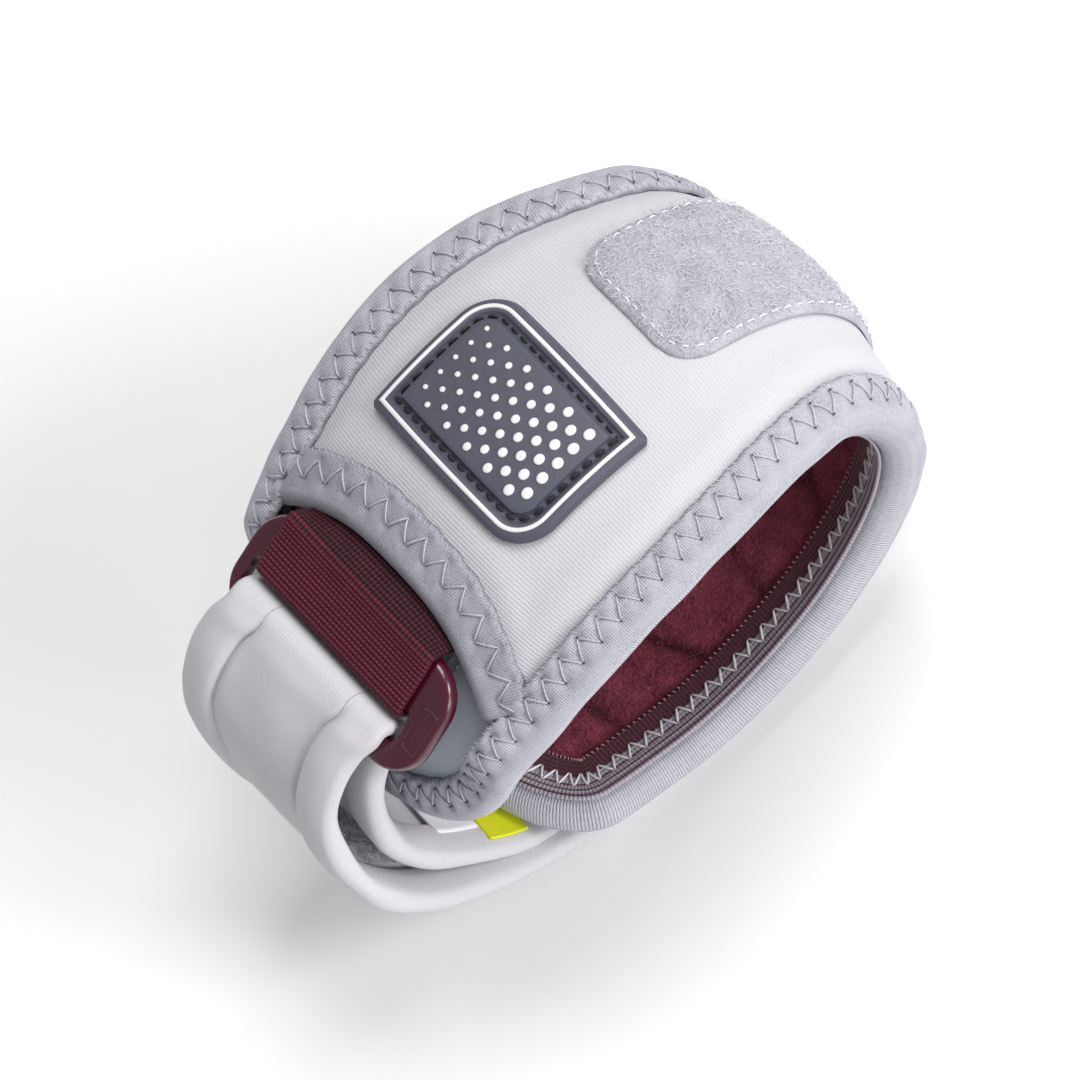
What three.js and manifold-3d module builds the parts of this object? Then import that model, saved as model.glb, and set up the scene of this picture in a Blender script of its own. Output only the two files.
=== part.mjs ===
// Tennis elbow strap: a padded cuff that goes round the forearm, open at one side,
// and closed there by a strap that folds back through a buckle.
// Millimetres, +Z up. The arm goes through along Y, the badge is on top, the buckle is at -X,
// and the strap's outer run lies flat on Z = 0.
import * as THREE from "three";
import { mergeVertices } from "three/addons/utils/BufferGeometryUtils.js";
import Module from "manifold-3d";

// Sizes that can be set by themselves.
const gap = 0.3; // air between one piece and the next
const ringReach = 50; // half the cuff's inside length, taken at its rims
const ringRise = 35; // half the cuff's height, taken at its rims
const cuffHalf = 38.8; // from the middle of the cuff to its cut edge, at the badge
const cuffSwell = 8; // how far the middle of the cuff stands out from its rims
const panelWall = 3; // knit-faced foam
const pressedWall = 1.4; // the same foam where it is sewn over the webbing
const liningWall = 1.5;
const flapWall = 1.2;
const flapRound = 20; // rounded end of the under flap
const tongueRound = 14; // rounded end of the cuff under the strap
const scoopDepth = 18; // how far the panel's end is cut back at its middle
const tapeWall = 1; // rim tape
const tapeWidth = 7; // how far the rim tape reaches over the panel
const scoopTape = 8; // and the tape over its scooped end
const tapeNose = 2.2; // how far the folded tape stands out past the cut edge
const borderWidth = 8; // elastic border inside each rim
const borderWall = 0.9;
const webWall = 1.1; // elastic webbing
const webHalf = 19.3;
const buckleLength = 22.6; // across the arm
const buckleWall = 3;
const buckleRound = 8; // corner radius
const buckleTilt = 29; // degrees below level, dropping to -X
const outerBar = 5.2; // bar that the strap folds over
const slotLength = 6.2; // opening between the two bars
const strapHalf = 20;
const buckleSide = 5.3; // how far the buckle reaches past the strap's edge
const buckleHalf = strapHalf + buckleSide; // along the arm
const strapWall = 2.7; // flat middle of the strap
const strapRoll = 4.3; // thickness of its rolled edges
const rollWidth = 9;
const feltWall = 0.8;
const hookWall = 1.1;
const patchWall = 1.6;
const patchHalf = cuffHalf * 0.387; // leaves a set share of the cuff between it and the rim tape
const patchLength = 80;
const patchRound = 7;
const badgeHalfX = 13.4; // round the cuff, taken at its rim
const badgeHalfY = 20.4; // along the arm
const badgeWall = 2.4;
const badgeRound = 7.5;
const badgeSharp = 1.2;
const labelWall = 0.5;
const tabLength = 7; // bright tab
const labelLength = 10; // care label
const hookHalf = 13;
const hookEnd = 1; // hook tab, from the strap's hidden end
const hookLength = 17;
const feltStart = 28; // felt, from the strap's hidden end
const feltStop = 14; // and to its other end
const feltClear = 10; // felt kept off the buckle's bar
const tabAside = 10; // bright tab, from the strap's middle line
const tabWidth = 8;
const labelAside = 6; // care label
const labelWidth = 21;
const borderInset = 1.7; // raised line round the badge, in from its edge
const borderLine = 0.8;

// Sizes that follow.
const flapTop = -(pressedWall + gap * 3 + webWall * 2); // the flap's outer face below the panel's
const flapStack = -flapTop + flapWall + gap + liningWall;
const floorDrop = ringRise * 1.03 + cuffSwell * 0.65 + strapRoll + gap * 5; // ring centre above the floor
const strapMid = floorDrop - strapRoll / 2;

const rad = (degrees) => (degrees * Math.PI) / 180;
const mix = (a, b, share) => a + (b - a) * share;
const ease = (from, to, value) => {
  const share = Math.min(Math.max((value - from) / (to - from), 0), 1);
  return share * share * (3 - 2 * share);
};
const steps = (count) => Array.from({ length: count + 1 }, (_, index) => index / count);

// A smooth line through the rows of a table, with the other columns carried along it.
function lineThrough(rows, columns) {
  const path = new THREE.CatmullRomCurve3(rows.map((row) => new THREE.Vector3(row.x, 0, row.z)));
  const lanes = columns.map(
    (name) => new THREE.CatmullRomCurve3(rows.map((row) => new THREE.Vector3(row[name], 0, 0)), false, "catmullrom"),
  );
  const samples = [];
  let distance = 0;
  for (const share of steps((rows.length - 1) * 24)) {
    const point = path.getPoint(share);
    if (samples.length) {
      const last = samples[samples.length - 1];
      distance += Math.hypot(point.x - last.x, point.z - last.z);
    }
    const sample = { distance, x: point.x, z: point.z };
    columns.forEach((name, index) => {
      sample[name] = lanes[index].getPoint(share).x;
    });
    samples.push(sample);
  }
  const find = (along) => {
    let low = 0;
    let high = samples.length - 1;
    while (high - low > 1) {
      const middle = (low + high) >> 1;
      if (samples[middle].distance <= along) low = middle;
      else high = middle;
    }
    const a = samples[low];
    const b = samples[high];
    const share = (along - a.distance) / (b.distance - a.distance);
    const found = {};
    for (const name of ["x", "z", ...columns]) found[name] = mix(a[name], b[name], share);
    return found;
  };
  const at = (along) => {
    const here = find(along);
    const before = find(along - 1);
    const after = find(along + 1);
    const size = Math.hypot(after.x - before.x, after.z - before.z);
    here.nx = -(after.z - before.z) / size;
    here.nz = (after.x - before.x) / size;
    return here;
  };
  return { length: distance, at };
}

// The cuff's rim, seen along the arm: from the flap's end over the top to the tongue under the strap.
// x and z are shares of the reach and rise, front and back of the half width, swell of the swell.
const cuffRows = [
  { x: -1.17, z: -0.1, front: 0.82, back: 0.82, swell: 0.31 },
  { x: -1.07, z: 0.13, front: 0.83, back: 0.82, swell: 0.56 },
  { x: -0.91, z: 0.386, front: 0.86, back: 0.83, swell: 0.81 },
  { x: -0.72, z: 0.629, front: 0.935, back: 0.86, swell: 1 },
  { x: -0.48, z: 0.829, front: 0.985, back: 0.91, swell: 1 },
  { x: -0.2, z: 0.96, front: 1.005, back: 0.965, swell: 1 },
  { x: 0.1, z: 0.983, front: 1, back: 0.987, swell: 1 },
  { x: 0.4, z: 0.903, front: 0.95, back: 0.955, swell: 1 },
  { x: 0.66, z: 0.743, front: 0.877, back: 0.873, swell: 1 },
  { x: 0.86, z: 0.486, front: 0.81, back: 0.815, swell: 0.98 },
  { x: 0.95, z: 0.171, front: 0.8, back: 0.765, swell: 0.95 },
  { x: 0.955, z: -0.143, front: 0.807, back: 0.735, swell: 0.92 },
  { x: 0.87, z: -0.429, front: 0.807, back: 0.735, swell: 0.87 },
  { x: 0.72, z: -0.671, front: 0.807, back: 0.745, swell: 0.81 },
  { x: 0.44, z: -0.9, front: 0.82, back: 0.745, swell: 0.75 },
  { x: 0.12, z: -1.006, front: 0.833, back: 0.755, swell: 0.69 },
  { x: -0.2, z: -1.029, front: 0.83, back: 0.755, swell: 0.62 },
  { x: -0.5, z: -0.971, front: 0.807, back: 0.765, swell: 0.56 },
  { x: -0.72, z: -0.871, front: 0.794, back: 0.765, swell: 0.5 },
  { x: -0.9, z: -0.743, front: 0.794, back: 0.765, swell: 0.44 },
];
const cuffLine = lineThrough(
  cuffRows.map((row) => ({
    x: row.x * ringReach,
    z: row.z * ringRise + floorDrop,
    front: row.front * cuffHalf,
    back: row.back * cuffHalf,
    swell: row.swell * cuffSwell,
  })),
  ["front", "back", "swell"],
);

// A place on the cuff: along its rim, across to the front (plus) or back (minus), and out from the panel's face.
function onCuff(along, across, out) {
  const line = cuffLine.at(along);
  const half = (across > 0 ? line.front : line.back) + tapeNose;
  const lift = line.swell * (1 - (across / half) ** 2);
  const slope = (2 * line.swell * across) / half ** 2;
  const size = Math.hypot(1, slope);
  const rise = lift + out / size;
  return new THREE.Vector3(
    line.x + line.nx * rise,
    -(across + (out * slope) / size),
    line.z + line.nz * rise,
  );
}

// The distance along the cuff where its middle passes a place in X, on the top side.
function alongAtX(x) {
  let along = 0;
  while (onCuff(along, 0, 0).x < x) along += 0.1;
  return along;
}

// Half the cuff's width at a distance along it, less an inset, with its two ends rounded.
function cuffEdge(along, side, inset) {
  const line = cuffLine.at(along);
  const half = (side > 0 ? line.front : line.back) - inset;
  const round = (depth, radius) => Math.sqrt(Math.max(0, 1 - (1 - Math.min(depth, radius) / radius) ** 2));
  return half * round(along - inset, flapRound) * round(cuffLine.length - inset - along, tongueRound);
}

// Levels of the layers, out from the panel's face. Past the scoop the flap carries the tape.
const scoopAt = alongAtX(-0.57 * ringReach);
const rimScoopAt = scoopAt - scoopDepth;
const flapHidden = scoopAt + 14;
const tapeTop = (along) => mix(flapTop, 0, ease(rimScoopAt - 12, rimScoopAt - 1, along));
const liningTop = (along) => mix(-(flapStack - liningWall), -(panelWall + gap), ease(flapHidden + 1, flapHidden + 15, along));
const scoopEdge = (across) => scoopAt - scoopDepth * (Math.abs(across) / (cuffHalf * 0.93)) ** 2.6;

// Closes a stack of equal loops into a solid, with its two ends filled unless it joins up on itself.
function loft(loops, joined) {
  const count = loops[0].length;
  const positions = loops.flat().flatMap((point) => [point.x, point.y, point.z]);
  const faces = [];
  const last = joined ? loops.length : loops.length - 1;
  for (let row = 0; row < last; row += 1) {
    const next = (row + 1) % loops.length;
    for (let column = 0; column < count; column += 1) {
      const a = row * count + column;
      const b = row * count + ((column + 1) % count);
      const c = next * count + ((column + 1) % count);
      const d = next * count + column;
      faces.push(a, b, c, a, c, d);
    }
  }
  return { positions, faces };
}

// Fills the two ends of a loft with strips from its first half to its second.
function withEnds(solid, loops) {
  const count = loops[0].length;
  const end = (loops.length - 1) * count;
  for (let index = 0; index < count / 2 - 1; index += 1) {
    const [a, b, c, d] = [index, index + 1, count - 2 - index, count - 1 - index];
    solid.faces.push(a, c, b, a, d, c);
    solid.faces.push(end + a, end + b, end + c, end + a, end + c, end + d);
  }
  return solid;
}

function geometryFrom({ positions, faces }) {
  let geometry = new THREE.BufferGeometry();
  geometry.setAttribute("position", new THREE.Float32BufferAttribute(positions, 3));
  geometry.setIndex(faces);
  geometry = mergeVertices(geometry, 1e-4);
  const place = geometry.getAttribute("position");
  const kept = [];
  const index = geometry.getIndex().array;
  let volume = 0;
  const corner = (number) => new THREE.Vector3().fromBufferAttribute(place, number);
  for (let face = 0; face < index.length; face += 3) {
    const [a, b, c] = [index[face], index[face + 1], index[face + 2]];
    if (a === b || b === c || c === a) continue;
    kept.push(a, b, c);
    volume += corner(a).dot(corner(b).cross(corner(c)));
  }
  if (volume < 0) {
    for (let face = 0; face < kept.length; face += 3) {
      [kept[face + 1], kept[face + 2]] = [kept[face + 2], kept[face + 1]];
    }
  }
  geometry.setIndex(kept);
  geometry.computeVertexNormals();
  return geometry;
}

const group = new THREE.Group();
group.name = "tennis_elbow_strap";
function addPiece(name, geometry, color, roughness) {
  const material = new THREE.MeshStandardMaterial({ color, roughness, metalness: 0 });
  const mesh = new THREE.Mesh(geometry, material);
  mesh.name = name;
  group.add(mesh);
  return mesh;
}

// A sheet on the cuff. Each station gives its place along for every place across, and the two levels.
function cuffSheet(stations, sharesAcross, place, outer, inner) {
  const loops = stations.map((station) => {
    const top = sharesAcross.map((share) => {
      const [along, across] = place(station, share);
      return onCuff(along, across, outer(along, across));
    });
    const bottom = sharesAcross.map((share) => {
      const [along, across] = place(station, share);
      return onCuff(along, across, inner(along, across));
    });
    return [...top, ...bottom.reverse()];
  });
  return geometryFrom(withEnds(loft(loops), loops));
}
const sharesAcross = steps(8).map((share) => share * 2 - 1);
const endInset = gap * 2.6;

// Places along the cuff between two ends: close together at the rounded ends, and on one pitch
// between them, so that the layers bend at the same places.
const stationPitch = 4.8;
const endSteps = [0, 0.7, 2, 4, 6.8];
function stationsBetween(from, to) {
  const inner = [];
  for (let along = 0; along < to; along += stationPitch) {
    if (along > from + 9 && along < to - 9) inner.push(along);
  }
  return [...endSteps.map((step) => from + step), ...inner, ...[...endSteps].reverse().map((step) => to - step)];
}

// Outer panel: knit-faced foam from the scooped end to the tongue, pressed thin over the webbing.
const panelEnd = cuffLine.length - endInset - 0.6;
const pressed = (along, across) =>
  (panelWall - pressedWall) *
  (1 - ease(scoopAt + 13, scoopAt + 22, along)) *
  (1 - ease(webHalf + 8, webHalf + 12, Math.abs(across)));
addPiece(
  "outer_panel",
  cuffSheet(
    stationsBetween(scoopAt, panelEnd),
    sharesAcross,
    (straight, share) => {
      const across = share * cuffEdge(straight, share, endInset);
      const along = straight - (scoopAt - scoopEdge(across)) * (1 - ease(0, 40, straight - scoopAt));
      return [along, share * cuffEdge(along, share, endInset)];
    },
    () => 0,
    (along, across) => -(panelWall - pressed(along, across)),
  ),
  0xe2e2e5,
  0.9,
);

// Lining: fleece over the whole inside, stepping in behind the flap.
addPiece(
  "lining",
  cuffSheet(
    stationsBetween(endInset + 0.6, panelEnd),
    sharesAcross,
    (along, share) => [along, share * cuffEdge(along, share, endInset)],
    (along) => liningTop(along),
    (along) => liningTop(along) - liningWall,
  ),
  0x4c1a2b,
  1,
);

// Under flap: a smooth sheet that carries the buckle, running in below the panel.
addPiece(
  "under_flap",
  cuffSheet(
    stationsBetween(endInset + 0.6, flapHidden),
    sharesAcross,
    (along, share) => {
      const clear = ease(rimScoopAt - 14, rimScoopAt - 2, along) * 3;
      return [along, share * (cuffEdge(along, share, endInset + gap) - clear)];
    },
    () => flapTop,
    () => flapTop - flapWall,
  ),
  0x98a3ad,
  0.4,
);

// The cut edge of the whole cuff as a closed line in along and across, evenly spaced.
function cuffOutline(count) {
  const raw = [];
  const shares = steps(400).map((share) => 0.5 - 0.5 * Math.cos(Math.PI * share));
  for (const share of shares) raw.push([share * cuffLine.length, cuffEdge(share * cuffLine.length, 1, 0)]);
  for (const share of [...shares].reverse()) raw.push([share * cuffLine.length, -cuffEdge(share * cuffLine.length, -1, 0)]);
  const lengths = [0];
  for (let index = 1; index < raw.length; index += 1) {
    lengths.push(lengths[index - 1] + Math.hypot(raw[index][0] - raw[index - 1][0], raw[index][1] - raw[index - 1][1]));
  }
  const total = lengths[lengths.length - 1];
  const pointAt = (distance) => {
    const wanted = ((distance % total) + total) % total;
    let index = lengths.findIndex((length) => length > wanted);
    if (index < 1) index = 1;
    const share = (wanted - lengths[index - 1]) / (lengths[index] - lengths[index - 1]);
    return [mix(raw[index - 1][0], raw[index][0], share), mix(raw[index - 1][1], raw[index][1], share)];
  };
  return steps(count)
    .slice(0, -1)
    .map((share) => {
      const [along, across] = pointAt(share * total);
      const before = pointAt(share * total - 3);
      const after = pointAt(share * total + 3);
      const size = Math.hypot(after[0] - before[0], after[1] - before[1]);
      return { along, across, inAlong: (after[1] - before[1]) / size, inAcross: -(after[0] - before[0]) / size };
    });
}
const outline = cuffOutline(94);

// A solid that follows the cut edge. Its section is in depth in from the edge and level out from the face.
function alongOutline(sectionAt) {
  const loops = outline.map((place) =>
    sectionAt(place).map(([depth, level]) =>
      onCuff(place.along + place.inAlong * depth, place.across + place.inAcross * depth, level),
    ),
  );
  return geometryFrom(loft(loops, true));
}

// Rim tape: folded over the cut edge all round, wide outside and short inside.
const innerTape = 1.4; // and how far it reaches inside
addPiece(
  "rim_binding",
  alongOutline(({ along }) => {
    const top = tapeTop(along) + gap * 1.5;
    const bottom = liningTop(along) - liningWall - gap;
    const middle = (top + bottom) / 2;
    const tall = (top - bottom) / 2;
    const nose = (reach, height) =>
      [60, 0, -60].map((turn) => [-reach * Math.cos(rad(turn)), middle + height * Math.sin(rad(turn))]);
    return [
      [tapeWidth, top],
      [tapeWidth, top + tapeWall * 0.7],
      [0, top + tapeWall],
      ...nose(tapeNose, tall + tapeWall),
      [0, bottom - tapeWall],
      [innerTape, bottom - tapeWall],
      [innerTape, bottom],
      [0, bottom],
      [-(tapeNose - tapeWall), middle - tall * 0.4],
      [-(tapeNose - tapeWall), middle + tall * 0.4],
      [0, top],
    ];
  }),
  0xb6b7c0,
  0.9,
);

// Elastic border: a flat strip inside each rim, from the tape to the fleece.
addPiece(
  "elastic_border",
  alongOutline(({ along }) => {
    const level = liningTop(along) - liningWall - gap;
    const start = innerTape + gap;
    return [
      [start, level],
      [start, level - borderWall],
      [start + borderWidth, level - borderWall],
      [start + borderWidth, level],
    ];
  }),
  0x8f7f8c,
  0.9,
);

// Tape over the scooped end of the panel, between the two rims.
const scoopReach = cuffEdge(rimScoopAt, -1, 0) - tapeWidth - gap * 2;
{
  const shares = steps(18).map((share) => share * 2 - 1);
  const level = gap * 1.5;
  const lip = gap * 2.8;
  const section = [
    [-scoopTape, level + tapeWall * 0.6],
    [-scoopTape / 2, level + tapeWall],
    [-0.6, level + tapeWall],
    [lip + tapeWall, gap * 2],
    [lip + tapeWall, -pressedWall],
    [lip, -pressedWall],
    [lip, level],
    [-0.6, level],
    [-scoopTape / 2, level],
    [-scoopTape, level],
  ];
  const loops = shares.map((share) => {
    const across = share * scoopReach;
    return section.map(([depth, out]) => onCuff(scoopEdge(across) - depth, across, out));
  });
  addPiece("scoop_binding", geometryFrom(withEnds(loft(loops), loops)), 0xb6b7c0, 0.9);
}

// A pad laid on the cuff: rings that shrink from its outline to its middle, top and bottom.
function cuffPad(middleAlong, middleAcross, outlinePoints, topPoints, level, wall) {
  const rings = [];
  const place = ([along, across], share, out) => onCuff(middleAlong + along * share, middleAcross + across * share, out);
  for (const share of [0.02, 0.35, 0.7]) rings.push(outlinePoints.map((point) => place(point, share, level)));
  rings.push(outlinePoints.map((point) => place(point, 1, level)));
  rings.push(outlinePoints.map((point) => place(point, 1, level + wall * 0.55)));
  rings.push(topPoints.map((point) => place(point, 1, level + wall)));
  for (const share of [0.7, 0.35, 0.02]) rings.push(topPoints.map((point) => place(point, share, level + wall)));
  return geometryFrom(withEnds(loft(rings), rings));
}

// A rectangle with its own radius at each corner, in along and across.
function roundedRectangle(halfAlong, halfAcross, radii, inset = 0, perSide = 4) {
  const points = [];
  const corners = [
    [1, 1, 0],
    [-1, 1, 90],
    [-1, -1, 180],
    [1, -1, 270],
  ];
  corners.forEach(([signAlong, signAcross, start], index) => {
    const radius = radii[index];
    for (const share of steps(4)) {
      const turn = rad(start + share * 90);
      points.push([
        signAlong * (halfAlong - radius) + (radius - inset) * Math.cos(turn),
        signAcross * (halfAcross - radius) + (radius - inset) * Math.sin(turn),
      ]);
    }
    const [nextAlong, nextAcross, nextStart] = corners[(index + 1) % 4];
    const nextRadius = radii[(index + 1) % 4];
    const from = points[points.length - 1];
    const to = [
      nextAlong * (halfAlong - nextRadius) + (nextRadius - inset) * Math.cos(rad(nextStart)),
      nextAcross * (halfAcross - nextRadius) + (nextRadius - inset) * Math.sin(rad(nextStart)),
    ];
    for (const share of steps(perSide).slice(1, -1)) points.push([mix(from[0], to[0], share), mix(from[1], to[1], share)]);
  });
  return points;
}

// Badge: moulded rubber with two sharp and two rounded corners, bare on its face.
const badgeAt = alongAtX(0.02 * ringReach);
const badgeAcross = -0.05 * cuffHalf;
const badgeRadii = [badgeSharp, badgeRound, badgeSharp, badgeRound];
addPiece(
  "badge",
  cuffPad(
    badgeAt,
    badgeAcross,
    roundedRectangle(badgeHalfX, badgeHalfY, badgeRadii),
    roundedRectangle(badgeHalfX, badgeHalfY, badgeRadii, 0.9),
    gap,
    badgeWall,
  ),
  0x565a68,
  0.6,
);

// Loop patch: a felt pad from the top over the right side, where the strap's end takes hold.
const patchStart = alongAtX(0.55 * ringReach);
{
  const across = -0.08 * cuffHalf;
  const loops = steps(22).map((share) => {
    const depth = share * patchLength;
    const fromEnd = Math.min(depth, patchLength - depth);
    const cut = patchRound - Math.sqrt(Math.max(0, patchRound ** 2 - (patchRound - Math.min(fromEnd, patchRound)) ** 2));
    const half = patchHalf - cut * 0.98;
    const row = steps(4).map((part) => across + (part * 2 - 1) * half);
    return [
      ...row.map((place) => onCuff(patchStart + depth, place, gap + patchWall)),
      ...row.reverse().map((place) => onCuff(patchStart + depth, place, gap)),
    ];
  });
  addPiece("loop_patch", geometryFrom(withEnds(loft(loops), loops)), 0xc5c6cf, 1);
}

// Buckle: its own axes lie along its length (dropping to -X) and out from its face.
const buckleX = -0.906 * ringReach;
const buckleZ = floorDrop + ringRise * 0.775;
const slope = rad(buckleTilt);
const onBuckle = (along, out) => ({
  x: buckleX - along * Math.cos(slope) - out * Math.sin(slope),
  z: buckleZ - along * Math.sin(slope) + out * Math.cos(slope),
});
const slotEnd = buckleLength / 2 - outerBar;
const slotStart = slotEnd - slotLength;
const slotMiddle = -0.08 * strapHalf; // the slot sits a little to the back
const wasm = await Module();
wasm.setup();
const solidOf = ({ positions, faces }) =>
  new wasm.Manifold(new wasm.Mesh({ numProp: 3, vertProperties: new Float32Array(positions), triVerts: new Uint32Array(faces) }));
{
  // A plate with softened faces, then the slot cut through it.
  const edge = 0.7;
  const inset = (amount) =>
    roundedRectangle(buckleLength / 2, buckleHalf, Array(4).fill(buckleRound), amount, 2);
  const levels = [
    [edge, -buckleWall / 2],
    [0, -buckleWall / 2 + edge],
    [0, buckleWall / 2 - edge],
    [edge, buckleWall / 2],
  ];
  const put = ([along, across], out) => {
    const place = onBuckle(along, out);
    return new THREE.Vector3(place.x, -across, place.z);
  };
  const outwardSolid = (loops) => {
    const geometry = geometryFrom(withEnds(loft(loops), loops));
    return solidOf({ positions: [...geometry.getAttribute("position").array], faces: [...geometry.getIndex().array] });
  };
  const plate = outwardSolid(levels.map(([amount, out]) => inset(amount).map((point) => put(point, out))));
  const slotHalf = strapHalf + gap * 4;
  const middle = (slotStart + slotEnd) / 2;
  const slotShape = roundedRectangle(slotLength / 2, slotHalf, Array(4).fill(1), 0, 2);
  const slot = outwardSolid(
    [-buckleWall, buckleWall].map((out) => slotShape.map(([along, across]) => put([along + middle, across + slotMiddle], out))),
  );
  const cut = plate.subtract(slot).getMesh();
  addPiece("buckle", geometryFrom({ positions: [...cut.vertProperties], faces: [...cut.triVerts] }), 0x5a1f33, 0.4);
}

// A flat band that follows its own line: along, across from its middle, and out from its line.
function onBand(line, along, across, out) {
  const place = line.at(along);
  const height = Math.max(0, place.z + place.nz * out); // pressed flat where it meets the floor
  return new THREE.Vector3(place.x + place.nx * out, -(place.middle + across), height);
}
function bandSolid(line, stations, sectionAt) {
  const loops = stations.map((along) => sectionAt(along).map(([across, out]) => onBand(line, along, across, out)));
  return geometryFrom(withEnds(loft(loops), loops));
}

// The middle of the cuff at a level, as a row of a band's table.
function cuffPlace(along, level) {
  const place = onCuff(along, 0, level);
  return { x: place.x, z: place.z };
}

// Webbing: from below the panel's pressed end over the inner bar, round it, and back below.
// Near the panel it takes the cuff's curve across, and keeps the line of the scooped end.
{
  const lift = buckleWall / 2 + gap + webWall / 2;
  const turn = slotStart + gap + webWall / 2;
  const topLevel = -(pressedWall + gap + webWall / 2);
  const hidden = 10;
  const shown = gap * 2.8 + tapeWall + 0.4;
  const rows = [
    onBuckle(-buckleLength / 2, lift + 0.4),
    onBuckle(-buckleLength / 2 + 3.5, lift),
    onBuckle(slotStart - 4, lift),
    onBuckle(slotStart - 0.7, lift),
    onBuckle(turn - 0.1, lift * 0.82),
    onBuckle(turn, 0),
    onBuckle(turn - 0.1, -lift * 0.82),
    onBuckle(slotStart - 0.7, -lift),
    onBuckle(slotStart - 4, -lift),
    onBuckle(-buckleLength / 2 + 1, -lift),
  ].map((row) => ({ ...row, middle: -0.04 * cuffHalf }));
  const line = lineThrough(rows, ["middle"]);
  const sharesOver = steps(4).map((share) => (share * 2 - 1) * webHalf);
  const under = steps(4).map((share) => (side) =>
    sharesOver.map((across) => {
      const place = across - 0.04 * cuffHalf;
      const along = mix(scoopAt + hidden, scoopEdge(place) - shown, share);
      return onCuff(along, place, topLevel - (side * webWall) / 2);
    }),
  );
  const over = steps(32).map((share) => (side) =>
    sharesOver.map((across) => onBand(line, share * line.length, across, (side * webWall) / 2)),
  );
  const loops = [...under, ...over].map((row) => [...row(-1), ...row(1).reverse()]);
  addPiece("webbing", geometryFrom(withEnds(loft(loops), loops)), 0x4a1226, 0.9);
}

// Strap: from its hidden end at the right, flat under the cuff, up the left side, over the outer bar,
// through the slot and down the inner run to the tongue. middle is a share of the strap's half width.
const strapLift = buckleWall / 2 + gap + strapWall / 2;
const strapTurn = slotEnd - gap - strapWall / 2;
const patchEnd = patchStart + patchLength;
const gripLevel = gap + patchWall + gap + hookWall + gap + strapRoll / 2;
const gripRows = [
  { ...cuffPlace(patchEnd - 18, gripLevel), middle: -0.05 },
  { ...cuffPlace(patchEnd - 9, gripLevel + 0.2), middle: 0.05 },
  { ...cuffPlace(patchEnd, gripLevel + 0.4), middle: 0.14 },
];
const outerRows = [
  { x: 0.16, z: -1, middle: 0.26 },
  { x: -0.16, z: -1, middle: 0.33 },
  { x: -0.46, z: -1, middle: 0.33 },
  { x: -0.7, z: -0.945, middle: 0.33 },
  { x: -0.92, z: -0.845, middle: 0.33 },
  { x: -1.12, z: -0.69, middle: 0.31 },
  { x: -1.31, z: -0.47, middle: 0.27 },
  { x: -1.43, z: -0.2, middle: 0.2 },
  { x: -1.465, z: 0.08, middle: 0.05 },
  { x: -1.415, z: 0.33, middle: -0.1 },
  { x: -1.28, z: 0.5, middle: -0.16 },
].map((row) => ({ x: row.x * ringReach, z: floorDrop + row.z * strapMid, middle: row.middle }));
const foldRows = [
  { ...onBuckle(buckleLength / 2 + 0.5, strapLift + 0.4), middle: -0.16 },
  { ...onBuckle(slotEnd + 1.9, strapLift + 0.25), middle: -0.1 },
  { ...onBuckle(slotEnd - 1, strapLift * 0.84), middle: -0.1 },
  { ...onBuckle(strapTurn, 0), middle: -0.1 },
  { ...onBuckle(slotEnd - 1, -strapLift * 0.84), middle: -0.1 },
  { ...onBuckle(slotEnd + 1.9, -strapLift - 0.25), middle: -0.1 },
  { ...onBuckle(buckleLength / 2 + 0.5, -strapLift - 0.3), middle: -0.1 },
];
const innerRows = [
  { x: -1.175, z: 0.3, middle: -0.05 },
  { x: -1.245, z: 0.1, middle: 0.02 },
  { x: -1.26, z: -0.12, middle: 0.07 },
  { x: -1.2, z: -0.35, middle: 0.12 },
  { x: -1.08, z: -0.56, middle: 0.16 },
  { x: -0.935, z: -0.75, middle: 0.19 },
  { x: -0.76, z: -0.85, middle: 0.19 },
].map((row) => ({ x: row.x * ringReach, z: floorDrop + row.z * strapMid, middle: row.middle }));
const strapLine = lineThrough(
  [...gripRows, ...outerRows, ...foldRows, ...innerRows].map((row) => ({ ...row, middle: row.middle * strapHalf })),
  ["middle"],
);

// How far the rolled edges swell: fully on the free runs, not at all in the slot or at the sewn end.
function nearestAlong(line, x, z, from, to) {
  let best = from;
  let least = Infinity;
  for (let along = from; along <= to; along += 0.25) {
    const place = line.at(along);
    const away = Math.hypot(place.x - x, place.z - z);
    if (away < least) {
      least = away;
      best = along;
    }
  }
  return best;
}
const slotPlace = onBuckle(strapTurn, 0);
const slotAlong = nearestAlong(strapLine, slotPlace.x, slotPlace.z, 0, strapLine.length);
const rollShare = (along) =>
  ease(9, 17, Math.abs(along - slotAlong)) * mix(0.1, 1, ease(2, 16, strapLine.length - along));
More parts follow.
